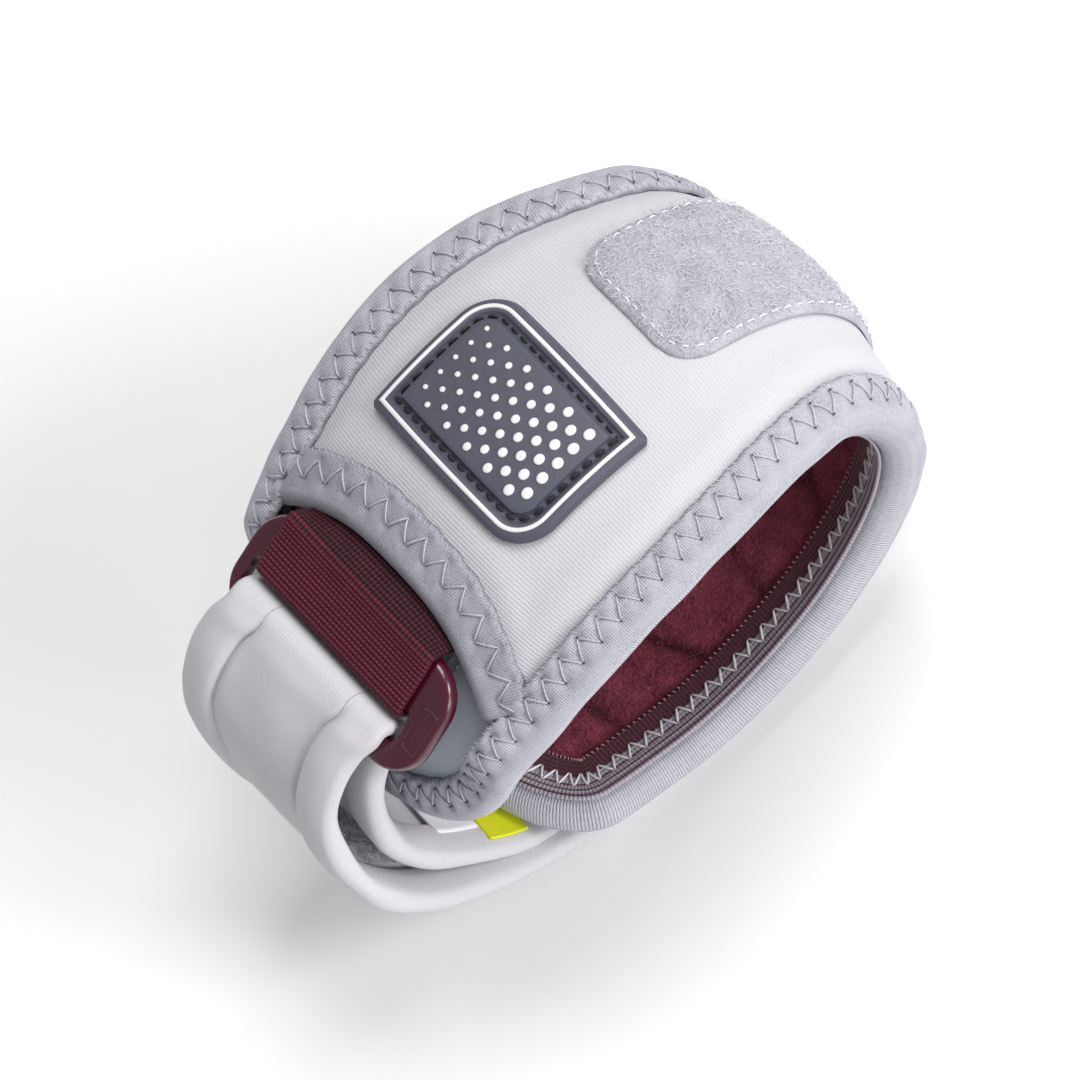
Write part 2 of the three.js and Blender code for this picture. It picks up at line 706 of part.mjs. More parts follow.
// Places along the strap: on one pitch, and close together where it turns round the bar.
function strapStations(from, to) {
  const stations = [from];
  let along = from;
  while (along < to - 1.5) {
    along += Math.abs(along - slotAlong) < 8 ? 0.9 : 5.5;
    if (along < to - 1.5) stations.push(along);
  }
  return [...stations, to];
}
const seamAt = strapHalf - rollWidth;
const feltBed = -strapWall / 2 + feltWall + gap;
const restFrom = nearestAlong(strapLine, 0.16 * ringReach, floorDrop - strapMid, 0, strapLine.length);
const restTo = nearestAlong(strapLine, -0.46 * ringReach, floorDrop - strapMid, 0, strapLine.length);
const restShare = (along) => ease(restFrom - 12, restFrom, along) * (1 - ease(restTo, restTo + 12, along));
addPiece(
  "strap",
  bandSolid(strapLine, strapStations(0, strapLine.length), (along) => {
    const edge = mix(strapWall, strapRoll, rollShare(along)) / 2;
    const front = mix(strapWall / 2, edge, restShare(along));
    const half = [
      [strapHalf, edge * 0.4],
      [strapHalf - 1.8, edge],
      [strapHalf - 4.6, edge],
      [seamAt, front],
    ];
    const backHalf = [
      [seamAt, feltBed],
      [seamAt + 0.8, -strapWall / 2],
      [strapHalf - 2.8, -edge],
      [strapHalf, -edge * 0.4],
    ];
    const mirror = (rows) => [...rows].reverse().map(([across, out]) => [-across, out]);
    return [...mirror(half).reverse(), ...[...half].reverse(), ...[...backHalf].reverse(), ...mirror(backHalf).reverse()];
  }),
  0xe4e4e6,
  0.9,
);

// Felt: a curly strip down the strap's back, let in between its rolled edges on both runs.
const feltRuns = {
  outer_felt: [feltStart, slotAlong - feltClear],
  inner_felt: [slotAlong + feltClear, strapLine.length - feltStop],
};
for (const [name, [from, to]] of Object.entries(feltRuns)) {
  const half = seamAt - gap;
  const face = feltBed - gap;
  addPiece(
    name,
    bandSolid(strapLine, strapStations(from, to), () => [
      [-half, face],
      [half, face],
      [half, face - feltWall],
      [-half, face - feltWall],
    ]),
    0x8d9099,
    1,
  );
}

// A thin sheet on the strap, between two places along it and two across it, at a level out from its line.
function strapSheet(name, from, to, left, right, level, wall, color, roughness) {
  addPiece(
    name,
    bandSolid(strapLine, strapStations(from, to), () => [
      [left, level + wall],
      [right, level + wall],
      [right, level],
      [left, level],
    ]),
    color,
    roughness,
  );
}

// Hook tab: under the strap's hidden end, on the loop patch.
strapSheet("hook_tab", hookEnd, hookEnd + hookLength, -hookHalf, hookHalf, -(strapRoll / 2 + gap + hookWall), hookWall, 0x3c3c42, 0.9);

// Labels: a bright tab and a plain care label, on the inner run's face towards the arm.
const labelLevel = strapRoll / 2 + gap;
const tabStart = nearestAlong(strapLine, -0.99 * ringReach, floorDrop - 0.75 * strapMid, slotAlong + 20, strapLine.length);
strapSheet("bright_tab", tabStart - tabLength, tabStart, tabAside, tabAside + tabWidth, labelLevel, labelWall, 0xccd614, 0.7);
strapSheet(
  "care_label",
  tabStart - tabLength - gap * 2 - labelLength,
  tabStart - tabLength - gap * 2,
  -labelAside,
  labelWidth - labelAside,
  labelLevel,
  labelWall,
  0xeef0f2,
  0.3,
);

// Badge border: a thin raised line round the badge's face.
{
  const section = [
    [borderInset, 0.1],
    [borderInset, 0.1 + borderLine * 0.6],
    [borderInset + borderLine, 0.1 + borderLine * 0.6],
    [borderInset + borderLine, 0.1],
  ];
  const rings = section.map(([inset, rise]) =>
    roundedRectangle(badgeHalfX, badgeHalfY, [inset + 0.2, badgeRound, inset + 0.2, badgeRound], inset).map(([along, across]) =>
      onCuff(badgeAt + along, badgeAcross + across, gap + badgeWall + rise),
    ),
  );
  const loops = rings[0].map((_, index) => rings.map((ring) => ring[index]));
  addPiece("badge_border", geometryFrom(loft(loops, true)), 0xf0f0f2, 0.6);
}

export default group;
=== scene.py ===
import math
from functools import partial
import bpy
import numpy as np
from mathutils import Matrix, Vector


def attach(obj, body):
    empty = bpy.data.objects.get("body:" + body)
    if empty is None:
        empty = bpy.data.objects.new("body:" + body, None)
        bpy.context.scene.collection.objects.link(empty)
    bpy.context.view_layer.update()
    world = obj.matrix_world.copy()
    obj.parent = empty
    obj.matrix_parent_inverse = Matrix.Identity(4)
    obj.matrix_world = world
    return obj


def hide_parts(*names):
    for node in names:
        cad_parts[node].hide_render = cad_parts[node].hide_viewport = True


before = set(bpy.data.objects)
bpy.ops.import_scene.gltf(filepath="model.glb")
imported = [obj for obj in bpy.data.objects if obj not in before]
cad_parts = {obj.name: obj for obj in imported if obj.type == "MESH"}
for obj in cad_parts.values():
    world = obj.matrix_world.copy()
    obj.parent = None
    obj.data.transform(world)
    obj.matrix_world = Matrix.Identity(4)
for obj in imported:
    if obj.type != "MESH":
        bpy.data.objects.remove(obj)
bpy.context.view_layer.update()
print("stage: frame loaded")

# Sizes in millimetres, the same as in the part.
gap = 0.3
ringReach = 50.0
ringRise = 35.0
cuffHalf = 38.8
cuffSwell = 8.0
panelWall = 3.0
pressedWall = 1.4
liningWall = 1.5
flapWall = 1.2
flapRound = 20.0
tongueRound = 14.0
scoopDepth = 18.0
tapeWall = 1.0
tapeWidth = 7.0
scoopTapeWidth = 8.0
tapeNose = 2.2
innerTape = 1.4
webWall = 1.1
webHalf = 19.3
buckleHalf = 25.3
buckleLength = 22.6
buckleWall = 3.0
buckleRound = 8.0
buckleTilt = math.radians(29)
outerBar = 5.2
slotLength = 6.2
strapHalf = 20.0
strapWall = 2.7
strapRoll = 4.3
rollWidth = 9.0
feltWall = 0.8
hookWall = 1.1
patchWall = 1.6
patchHalf = 15.0
patchLength = 80.0
patchRound = 7.0
badgeHalfX = 13.4
badgeHalfY = 20.4
badgeWall = 2.4
flapTop = -(pressedWall + gap * 3 + webWall * 2)
flapStack = -flapTop + flapWall + gap + liningWall
floorDrop = ringRise * 1.03 + cuffSwell * 0.65 + strapRoll + gap * 5
strapMid = floorDrop - strapRoll / 2


def ease(start, end, value):
    share = np.clip((value - start) / (end - start), 0, 1)
    return share * share * (3 - 2 * share)


def mix(a, b, share):
    return a + (b - a) * share


def bump(value, middle, width):
    return np.exp(-((value - middle) / width) ** 2)


# Two values side by side, such as a place on a flat map.
def pair(first, second):
    return np.stack(np.broadcast_arrays(first, second), -1)


def spread(*values):
    return np.broadcast_arrays(*(np.asarray(value, float) for value in values))


def gridOf(rows, columns):
    return np.meshgrid(rows, columns, indexing="ij")


# The distance run so far at each point of a flat line.
def runOf(points):
    return np.r_[0, np.cumsum(np.hypot(*np.diff(points, axis=0).T))]


# A smooth line in X and Z through the rows of a table, with its other columns carried along.
def lineThrough(rows, columns):
    points = np.array([[row["x"], row["z"]] for row in rows], float)
    extra = np.array([[row[name] for name in columns] for row in rows], float)
    p = np.vstack([2 * points[0] - points[1], points, 2 * points[-1] - points[-2]])
    c = np.vstack([2 * extra[0] - extra[1], extra, 2 * extra[-1] - extra[-2]])
    share = (np.arange(24) / 24)[:, None]
    places, values = [], []
    for i in range(len(points) - 1):
        p0, p1, p2, p3 = p[i:i + 4]
        d0, d1, d2 = [max(np.linalg.norm(b - a), 1e-8) ** 0.5 for a, b in ((p0, p1), (p1, p2), (p2, p3))]
        t1 = ((p1 - p0) / d0 - (p2 - p0) / (d0 + d1) + (p2 - p1) / d1) * d1
        t2 = ((p2 - p1) / d1 - (p3 - p1) / (d1 + d2) + (p3 - p2) / d2) * d1
        u1, u2 = (c[i + 2] - c[i]) / 2, (c[i + 3] - c[i + 1]) / 2
        for a, b, m1, m2, store in ((p1, p2, t1, t2, places), (c[i + 1], c[i + 2], u1, u2, values)):
            curve = a + m1 * share + (-3 * a + 3 * b - 2 * m1 - m2) * share ** 2
            store.append(curve + (2 * a - 2 * b + m1 + m2) * share ** 3)
    places = np.vstack(places + [points[-1:]])
    values = np.vstack(values + [extra[-1:]])
    along = runOf(places)
    return {"length": along[-1], "along": along, "table": np.hstack([places, values])}


# The row of the line at each distance, and the direction outwards there.
def lineAt(line, along):
    along = np.asarray(along, float)

    def find(place):
        index = np.clip(np.searchsorted(line["along"], place, side="right") - 1, 0, len(line["along"]) - 2)
        start, end = line["along"][index], line["along"][index + 1]
        share = ((place - start) / (end - start))[..., None]
        return line["table"][index] * (1 - share) + line["table"][index + 1] * share

    turn = find(along + 1) - find(along - 1)
    size = np.hypot(turn[..., 0], turn[..., 1])
    return find(along), -turn[..., 1] / size, turn[..., 0] / size


# The cuff's rim seen along the arm: x, z, front and back half width, swell, as shares.
cuffRows = [
    (-1.17, -0.1, 0.82, 0.82, 0.31), (-1.07, 0.13, 0.83, 0.82, 0.56), (-0.91, 0.386, 0.86, 0.83, 0.81),
    (-0.72, 0.629, 0.935, 0.86, 1), (-0.48, 0.829, 0.985, 0.91, 1), (-0.2, 0.96, 1.005, 0.965, 1),
    (0.1, 0.983, 1, 0.987, 1), (0.4, 0.903, 0.95, 0.955, 1), (0.66, 0.743, 0.877, 0.873, 1),
    (0.86, 0.486, 0.81, 0.815, 0.98), (0.95, 0.171, 0.8, 0.765, 0.95), (0.955, -0.143, 0.807, 0.735, 0.92),
    (0.87, -0.429, 0.807, 0.735, 0.87), (0.72, -0.671, 0.807, 0.745, 0.81), (0.44, -0.9, 0.82, 0.745, 0.75),
    (0.12, -1.006, 0.833, 0.755, 0.69), (-0.2, -1.029, 0.83, 0.755, 0.62), (-0.5, -0.971, 0.807, 0.765, 0.56),
    (-0.72, -0.871, 0.794, 0.765, 0.5), (-0.9, -0.743, 0.794, 0.765, 0.44),
]
cuffLine = lineThrough(
    [dict(x=x * ringReach, z=z * ringRise + floorDrop, front=f * cuffHalf, back=b * cuffHalf, swell=s * cuffSwell)
     for x, z, f, b, s in cuffRows], ["front", "back", "swell"])
cuffLength = cuffLine["length"]


# A place on the cuff: along its rim, across to the front (plus) or back, and out from the panel's face.
def onCuff(along, across, out):
    along, across, out = spread(along, across, out)
    row, nx, nz = lineAt(cuffLine, along)
    half = np.where(across > 0, row[..., 2], row[..., 3]) + tapeNose
    slope = 2 * row[..., 4] * across / half ** 2
    size = np.hypot(1, slope)
    rise = row[..., 4] * (1 - (across / half) ** 2) + out / size
    return np.stack([row[..., 0] + nx * rise, -(across + out * slope / size), row[..., 1] + nz * rise], -1)


# Half the cuff's width on one side, with its two ends rounded.
def cuffEdge(along, side, inset):
    row, _, _ = lineAt(cuffLine, along)
    half = np.where(np.asarray(side) > 0, row[..., 2], row[..., 3]) - inset

    def rounded(depth, radius):
        return np.sqrt(np.maximum(0, 1 - (1 - np.minimum(depth, radius) / radius) ** 2))
    return half * rounded(along - inset, flapRound) * rounded(cuffLength - inset - along, tongueRound)


def depthFrom(along, across):
    return cuffEdge(along, across, 0) - np.abs(across)


def alongAtX(x):
    along = np.arange(0, cuffLength, 0.1)
    return along[np.argmax(onCuff(along, 0, 0)[:, 0] >= x)]


scoopAt = alongAtX(-0.57 * ringReach)
rimScoopAt = scoopAt - scoopDepth
flapHidden = scoopAt + 14
cutInset = gap * 2.6
endInset = 0.6
panelEnd = cuffLength - cutInset - endInset
tapeLift = gap * 1.5


def tapeTop(along):
    return mix(flapTop, 0, ease(rimScoopAt - 12, rimScoopAt - 1, along))


def liningTop(along):
    return mix(-(flapStack - liningWall), -(panelWall + gap), ease(flapHidden + 1, flapHidden + 15, along))


def borderTop(along):
    return liningTop(along) - liningWall - gap


def scoopEdge(across):
    return scoopAt - scoopDepth * (np.abs(across) / (cuffHalf * 0.93)) ** 2.6


# The cuff's cut edge as a closed line, and its inward direction, at any distance round it.
edgeAlong = (0.5 - 0.5 * np.cos(np.pi * np.arange(401) / 400)) * cuffLength
edgeRaw = np.vstack([pair(edgeAlong, cuffEdge(edgeAlong, 1, 0)), pair(edgeAlong, -cuffEdge(edgeAlong, -1, 0))[::-1]])
edgeSteps = runOf(edgeRaw)
edgeTotal = edgeSteps[-1]


def onEdge(distance):
    def place(d):
        d = np.mod(d, edgeTotal)
        return pair(np.interp(d, edgeSteps, edgeRaw[:, 0]), np.interp(d, edgeSteps, edgeRaw[:, 1]))
    turn = place(distance + 3) - place(distance - 3)
    turn /= np.linalg.norm(turn, axis=-1, keepdims=True)
    return place(distance), pair(turn[..., 1], -turn[..., 0])


def onEdgeCuff(distance, depth, out):
    place, inward = onEdge(distance)
    return onCuff(place[..., 0] + inward[..., 0] * depth, place[..., 1] + inward[..., 1] * depth, out)


# The buckle's own axes: along its length, dropping to the left, and out from its face.
buckleX, buckleZ = -0.906 * ringReach, floorDrop + ringRise * 0.775


def onBuckle(along, out):
    return dict(x=buckleX - along * math.cos(buckleTilt) - out * math.sin(buckleTilt),
                z=buckleZ - along * math.sin(buckleTilt) + out * math.cos(buckleTilt))


slotEnd = buckleLength / 2 - outerBar
slotStart = slotEnd - slotLength
slotMiddle = -0.08 * strapHalf

# The strap's line: hidden end, flat under the cuff, up the left side, over the bar, down the inner run.
strapLift = buckleWall / 2 + gap + strapWall / 2
strapTurn = slotEnd - gap - strapWall / 2
patchStart = alongAtX(0.55 * ringReach)
patchEnd = patchStart + patchLength
gripLevel = gap + patchWall + gap + hookWall + gap + strapRoll / 2


def cuffRow(along, level, middle):
    place = onCuff(along, 0, level)
    return dict(x=place[0], z=place[2], middle=middle)


def barRow(along, out, middle=-0.1):
    return dict(onBuckle(along, out), middle=middle)


def freeRows(*rows):
    return [dict(x=x * ringReach, z=floorDrop + z * strapMid, middle=m) for x, z, m in rows]


strapRows = [
    cuffRow(patchEnd - 18, gripLevel, -0.05), cuffRow(patchEnd - 9, gripLevel + 0.2, 0.05),
    cuffRow(patchEnd, gripLevel + 0.4, 0.14),
    *freeRows(
        (0.16, -1, 0.26), (-0.16, -1, 0.33), (-0.46, -1, 0.33), (-0.7, -0.945, 0.33), (-0.92, -0.845, 0.33),
        (-1.12, -0.69, 0.31), (-1.31, -0.47, 0.27), (-1.415, -0.2, 0.2), (-1.43, 0.08, 0.05), (-1.37, 0.32, -0.1),
        (-1.255, 0.47, -0.16)),
    barRow(buckleLength / 2 + 0.5, strapLift + 0.4, -0.16), barRow(slotEnd + 1.9, strapLift + 0.25),
    barRow(slotEnd - 1, strapLift * 0.84), barRow(strapTurn, 0), barRow(slotEnd - 1, -strapLift * 0.84),
    barRow(slotEnd + 1.9, -strapLift - 0.25), barRow(buckleLength / 2 + 0.5, -strapLift - 0.3),
    *freeRows(
        (-1.175, 0.3, -0.05), (-1.245, 0.1, 0.02), (-1.26, -0.12, 0.07), (-1.2, -0.35, 0.12), (-1.08, -0.56, 0.16),
        (-0.935, -0.75, 0.19), (-0.76, -0.85, 0.19)),
]
for row in strapRows:
    row["middle"] *= strapHalf
strapLine = lineThrough(strapRows, ["middle"])
strapLength = strapLine["length"]


def onBand(line, along, across, out):
    along, across, out = spread(along, across, out)
    row, nx, nz = lineAt(line, along)
    return np.stack([row[..., 0] + nx * out, -(row[..., 2] + across), np.maximum(0, row[..., 1] + nz * out)], -1)


onStrap = partial(onBand, strapLine)


def strapAlong(x, z, start=0):
    along = np.arange(start, strapLength, 0.25)
    row, _, _ = lineAt(strapLine, along)
    return along[np.argmin(np.hypot(row[:, 0] - x, row[:, 1] - z))]


slotAlong = strapAlong(**onBuckle(strapTurn, 0))
restFrom = strapAlong(0.16 * ringReach, floorDrop - strapMid)
restTo = strapAlong(-0.46 * ringReach, floorDrop - strapMid)


# A mesh from points in millimetres, with a flat map in hundreds of millimetres.
def meshFrom(name, points, faces, flat=None, ends=(), closed=True):
    points, faces = np.asarray(points, float), np.asarray(faces)
    if closed:  # faces turned to look outwards
        a, b, c, d = (points[faces[:, k]] - points.mean(0) for k in range(4))
        if (np.cross(a, b) * c + np.cross(a, c) * d).sum() < 0:
            faces, ends = faces[:, ::-1], [end[::-1] for end in ends]
    mesh = bpy.data.meshes.new(name)
    mesh.vertices.add(len(points))
    mesh.vertices.foreach_set("co", (points / 1000).astype(np.float32).ravel())
    corners = np.concatenate([np.asarray(part, np.int32).ravel() for part in (faces, *ends)])
    counts = np.concatenate([np.full(len(faces), faces.shape[1])] + [[len(end)] for end in ends])
    mesh.loops.add(len(corners))
    mesh.loops.foreach_set("vertex_index", corners)
    mesh.polygons.add(len(counts))
    mesh.polygons.foreach_set("loop_start", np.r_[0, np.cumsum(counts)[:-1]].astype(np.int32))
    mesh.polygons.foreach_set("use_smooth", np.full(len(counts), True))
    if flat is not None:
        layer = mesh.uv_layers.new(name="flat")
        layer.data.foreach_set("uv", (np.asarray(flat)[corners] / 100).astype(np.float32).ravel())
    mesh.update(calc_edges=True)
    mesh.validate()
    obj = bpy.data.objects.new(name, mesh)
    bpy.context.collection.objects.link(obj)
    return obj


def gridFaces(rows, columns, closeRows=False, closeColumns=True):
    r = np.arange(rows if closeRows else rows - 1)[:, None]
    c = np.arange(columns if closeColumns else columns - 1)[None, :]
    a, b = r * columns + c, r * columns + (c + 1) % columns
    d, e = (r + 1) % rows * columns + c, (r + 1) % rows * columns + (c + 1) % columns
    return np.stack([a, b, e, d], -1).reshape(-1, 4)


def repeated(faces, count, points):
    return (faces[None] + (np.arange(count) * points)[:, None, None]).reshape(-1, 4)


def gridMesh(name, grid, flats=None, closeRows=False, capped=False):
    rows, columns = grid.shape[:2]
    ends = [np.arange(columns)[::-1], (rows - 1) * columns + np.arange(columns)] if capped else ()
    flat = None if flats is None else flats.reshape(-1, 2)
    return meshFrom(name, grid.reshape(-1, 3), gridFaces(rows, columns, closeRows), flat, ends)


# A band that closes round its sections, each a line of points with its flat map.
def wrapped(name, sections, closeRows=False, capped=False):
    grid, flats = (np.stack([section[k] for section in sections], 1) for k in (0, 1))
    return gridMesh(name, grid, flats, closeRows, capped)


# A closed shell over a grid of places, between an upper and a lower level.
def shell(name, placeAt, along, across, upper, lower):
    outer, inner, flat = placeAt(along, across, upper), placeAt(along, across, lower), pair(along, across)
    rows, columns = outer.shape[:2]
    loops = np.concatenate([outer, inner[:, ::-1]], axis=1)
    flats = np.concatenate([flat, flat[:, ::-1]], axis=1)
    ends = []
    for k in range(columns - 1):
        for base, turned in ((0, False), ((rows - 1) * columns * 2, True)):
            quad = [base + k, base + 2 * columns - 1 - k, base + 2 * columns - 2 - k, base + k + 1]
            ends.append(quad[::-1] if turned else quad)
    faces = np.vstack([gridFaces(rows, columns * 2), np.array(ends)])
    return meshFrom(name, loops.reshape(-1, 3), faces, flats.reshape(-1, 2))


def finishPiece(obj, material, nodes=()):
    obj.data.materials.append(material)
    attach(obj, "root")
    if nodes:
        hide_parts(*nodes)
    return obj


# Threads and fibres: many round strands in one mesh, each a row of points.
def strands(name, lines, radius, material, sides=6, taper=True):
    lines = np.asarray(lines, float)
    count, steps = lines.shape[:2]
    ahead = np.gradient(lines, axis=1)
    ahead /= np.linalg.norm(ahead, axis=-1, keepdims=True) + 1e-9
    side = np.cross(ahead, np.broadcast_to([0.31, 0.22, 0.92], lines.shape))
    side /= np.linalg.norm(side, axis=-1, keepdims=True) + 1e-9
    over = np.cross(side, ahead)
    turns = 2 * np.pi * np.arange(sides) / sides
    width = np.full(steps, radius)
    if taper:
        width[0] = width[-1] = radius * 0.15
    ring = np.cos(turns)[:, None] * side[:, :, None, :] + np.sin(turns)[:, None] * over[:, :, None, :]
    points = lines[:, :, None, :] + ring * width[None, :, None, None]
    faces = repeated(gridFaces(steps, sides)[:, ::-1], count, steps * sides)
    finishPiece(meshFrom(name, points.reshape(-1, 3), faces, closed=False), material)


# Smooth uneven waves for dents and ripples, the same on every run.
def wander(along, across, size, seed):
    waves = np.random.default_rng(seed)
    total = 0
    for _ in range(7):
        angle, phase, scale = waves.uniform(0, np.pi), waves.uniform(0, 2 * np.pi), waves.uniform(0.7, 1.6)
        total = total + np.sin((along * np.cos(angle) + across * np.sin(angle)) * 2 * np.pi / (size * scale) + phase)
    return total / 3.5


print("stage: helpers ready")


def node(tree, kind, **settings):
    made = tree.nodes.new(kind)
    for key, value in settings.items():
        if key in made.inputs:
            made.inputs[key].default_value = value
        else:
            setattr(made, key, value)
    return made


def calc(tree, operation, *values):
    made = node(tree, "ShaderNodeMath", operation=operation)
    for index, value in enumerate(values):
        if isinstance(value, (int, float)):
            made.inputs[index].default_value = value
        else:
            tree.links.new(value, made.inputs[index])
    return made.outputs[0]


# A node group: inputs by name with their values, None for a vector, and the names of its outputs.
def group(name, inputs, outputs):
    made = bpy.data.node_groups.new(name, "ShaderNodeTree")
    for label, value in inputs.items():
        kind = "NodeSocketVector" if value is None else "NodeSocketFloat"
        socket = made.interface.new_socket(name=label, in_out="INPUT", socket_type=kind)
        if value is not None:
            socket.default_value = value
    for label in outputs:
        made.interface.new_socket(name=label, in_out="OUTPUT", socket_type="NodeSocketFloat")
    return made, made.nodes.new("NodeGroupInput"), made.nodes.new("NodeGroupOutput")


# A flat map's two directions, in millimetres.
def flatMm(tree, flat):
    parts = node(tree, "ShaderNodeSeparateXYZ")
    tree.links.new(flat, parts.inputs[0])
    return [calc(tree, "MULTIPLY", parts.outputs[k], 100) for k in (0, 1)]


# Fine knit: ribs across the cuff made of small v stitches, with a mask of the valleys between ribs for painted shade.
knit, source, result = group(
    "fineKnit", {"Flat": None, "Rib pitch": 0.75, "Stitch pitch": 0.6}, ["Height", "ValleyShade"])
do = partial(calc, knit)
alongMm, acrossMm = flatMm(knit, source.outputs["Flat"])
ribPlace = do("FRACT", do("DIVIDE", alongMm, source.outputs["Rib pitch"]))
fromMiddle = do("MULTIPLY", do("ABSOLUTE", do("SUBTRACT", ribPlace, 0.5)), 2)
crown = do("SUBTRACT", 1, do("POWER", fromMiddle, 2.2))
slant = do("ADD", do("DIVIDE", acrossMm, source.outputs["Stitch pitch"]), do("MULTIPLY", fromMiddle, 0.7))
stitchWave = do("SINE", do("MULTIPLY", slant, 2 * math.pi))
knitHeight = do("MULTIPLY", crown, do("MULTIPLY_ADD", stitchWave, 0.22, 0.78))
knit.links.new(knitHeight, result.inputs["Height"])
knit.links.new(do("POWER", fromMiddle, 4), result.inputs["ValleyShade"])

# Brushed nap: fine streaks and tufts, for tape, fleece and felt.
brushed, source, result = group(
    "brushedNap", {"Place": None, "Tuft size": 0.6, "Streak": 1.0, "Patchiness": 8.0}, ["Height", "Shade"])
do = partial(calc, brushed)
scaled = node(brushed, "ShaderNodeCombineXYZ", Y=100, Z=100)
brushed.links.new(do("MULTIPLY", source.outputs["Streak"], 100), scaled.inputs[0])
stretched = node(brushed, "ShaderNodeVectorMath", operation="MULTIPLY")
brushed.links.new(source.outputs["Place"], stretched.inputs[0])
brushed.links.new(scaled.outputs[0], stretched.inputs[1])
fine = node(brushed, "ShaderNodeTexNoise", noise_dimensions="3D", Detail=4, Roughness=0.65)
broad = node(brushed, "ShaderNodeTexNoise", noise_dimensions="3D", Detail=2)
for noise, size in ((fine, "Tuft size"), (broad, "Patchiness")):
    brushed.links.new(stretched.outputs[0], noise.inputs["Vector"])
    brushed.links.new(do("DIVIDE", 1, source.outputs[size]), noise.inputs["Scale"])
brushed.links.new(fine.outputs["Fac"], result.inputs["Height"])
shade = do("ADD", do("MULTIPLY", fine.outputs["Fac"], 0.6), do("MULTIPLY", broad.outputs["Fac"], 0.4))
brushed.links.new(shade, result.inputs["Shade"])


# One of the groups above in a material, with its inputs by name.
def placed(tree, made, **values):
    box = node(tree, "ShaderNodeGroup", node_tree=made)
    for key, value in values.items():
        label = key.replace("_", " ")
        if isinstance(value, (int, float)):
            box.inputs[label].default_value = value
        else:
            tree.links.new(value, box.inputs[label])
    return box


def startMaterial(name, roughness, sheen=0.0, coat=0.0, specular=0.4, tint=(1, 1, 1)):
    material = bpy.data.materials.new(name)
    material.use_nodes = True
    tree = material.node_tree
    shader = tree.nodes["Principled BSDF"]
    settings = {"Roughness": roughness, "Sheen Weight": sheen, "Sheen Roughness": 0.5, "Sheen Tint": (*tint, 1),
                "Coat Weight": coat, "Coat Roughness": 0.15, "Specular IOR Level": specular}
    for label, value in settings.items():
        shader.inputs[label].default_value = value
    return material, tree, shader, node(tree, "ShaderNodeUVMap", uv_map="flat").outputs[0]


def tone(r, g, b):
    def straight(value):
        value /= 255
        return value / 12.92 if value <= 0.04045 else ((value + 0.055) / 1.055) ** 2.4
    return straight(r), straight(g), straight(b)


# Colours the shader from dark to light by a factor between two limits.
def shadeBy(tree, shader, factor, dark, light, start, end):
    made = tree.nodes.new("ShaderNodeValToRGB")
    for element, colour, position in zip(made.color_ramp.elements, (dark, light), (start, end)):
        element.color = (*colour, 1)
        element.position = position
    tree.links.new(factor, made.inputs[0])
    tree.links.new(made.outputs[0], shader.inputs["Base Color"])


def relief(tree, shader, height, distance):
    made = node(tree, "ShaderNodeBump", Strength=1.0, Distance=distance / 1000)
    tree.links.new(height, made.inputs["Height"])
    tree.links.new(made.outputs[0], shader.inputs["Normal"])


def knitMaterial(name, light, dark, ribPitch, stitchPitch, valleyShading=0.2, depth=0.08, nap=0.4, patch=25.0):
    light, dark = tone(*light), tone(*dark)
    material, tree, shader, flat = startMaterial(name, 0.85, sheen=0.15, specular=0.25, tint=light)
    weave = placed(tree, knit, Flat=flat, Rib_pitch=ribPitch, Stitch_pitch=stitchPitch)
    soft = placed(tree, brushed, Place=flat, Tuft_size=0.5, Streak=1.0, Patchiness=patch)
    do = partial(calc, tree)
    lit = do("MULTIPLY_ADD", soft.outputs["Shade"], nap * 2, 1 - nap)
    # Painted shade: the colour is darkened in the valleys between the ribs.
    shade = do("SUBTRACT", lit, do("MULTIPLY", weave.outputs["ValleyShade"], valleyShading))
    shadeBy(tree, shader, shade, dark, light, 0.3, 1.0)
    relief(tree, shader, do("ADD", weave.outputs["Height"], do("MULTIPLY", soft.outputs["Height"], 0.8)), depth)
    return material


def napMaterial(name, light, dark, tuft, depth, sheen, patch):
    light, dark = tone(*light), tone(*dark)
    material, tree, shader, flat = startMaterial(name, 0.95, sheen=sheen, specular=0.2, tint=light)
    fuzz = placed(tree, brushed, Place=flat, Tuft_size=tuft, Streak=1.0, Patchiness=patch)
    shadeBy(tree, shader, fuzz.outputs["Shade"], dark, light, 0.3, 0.7)
    relief(tree, shader, fuzz.outputs["Height"], depth)
    return material


def plainMaterial(name, light, dark, roughness, coat=0.0, grain=0.03, specular=0.5, sheen=0.0):
    light, dark = tone(*light), tone(*dark)
    material, tree, shader, _ = startMaterial(name, roughness, coat=coat, specular=specular, sheen=sheen, tint=light)
    place = node(tree, "ShaderNodeTexCoord").outputs["Object"]
    cloud = placed(tree, brushed, Place=place, Tuft_size=0.05, Streak=1.0, Patchiness=0.9)
    shadeBy(tree, shader, cloud.outputs["Shade"], dark, light, 0.3, 0.7)
    worn = calc(tree, "MULTIPLY_ADD", cloud.outputs["Shade"], 0.18, roughness - 0.09)
    tree.links.new(worn, shader.inputs["Roughness"])
    relief(tree, shader, cloud.outputs["Height"], grain)
    return material


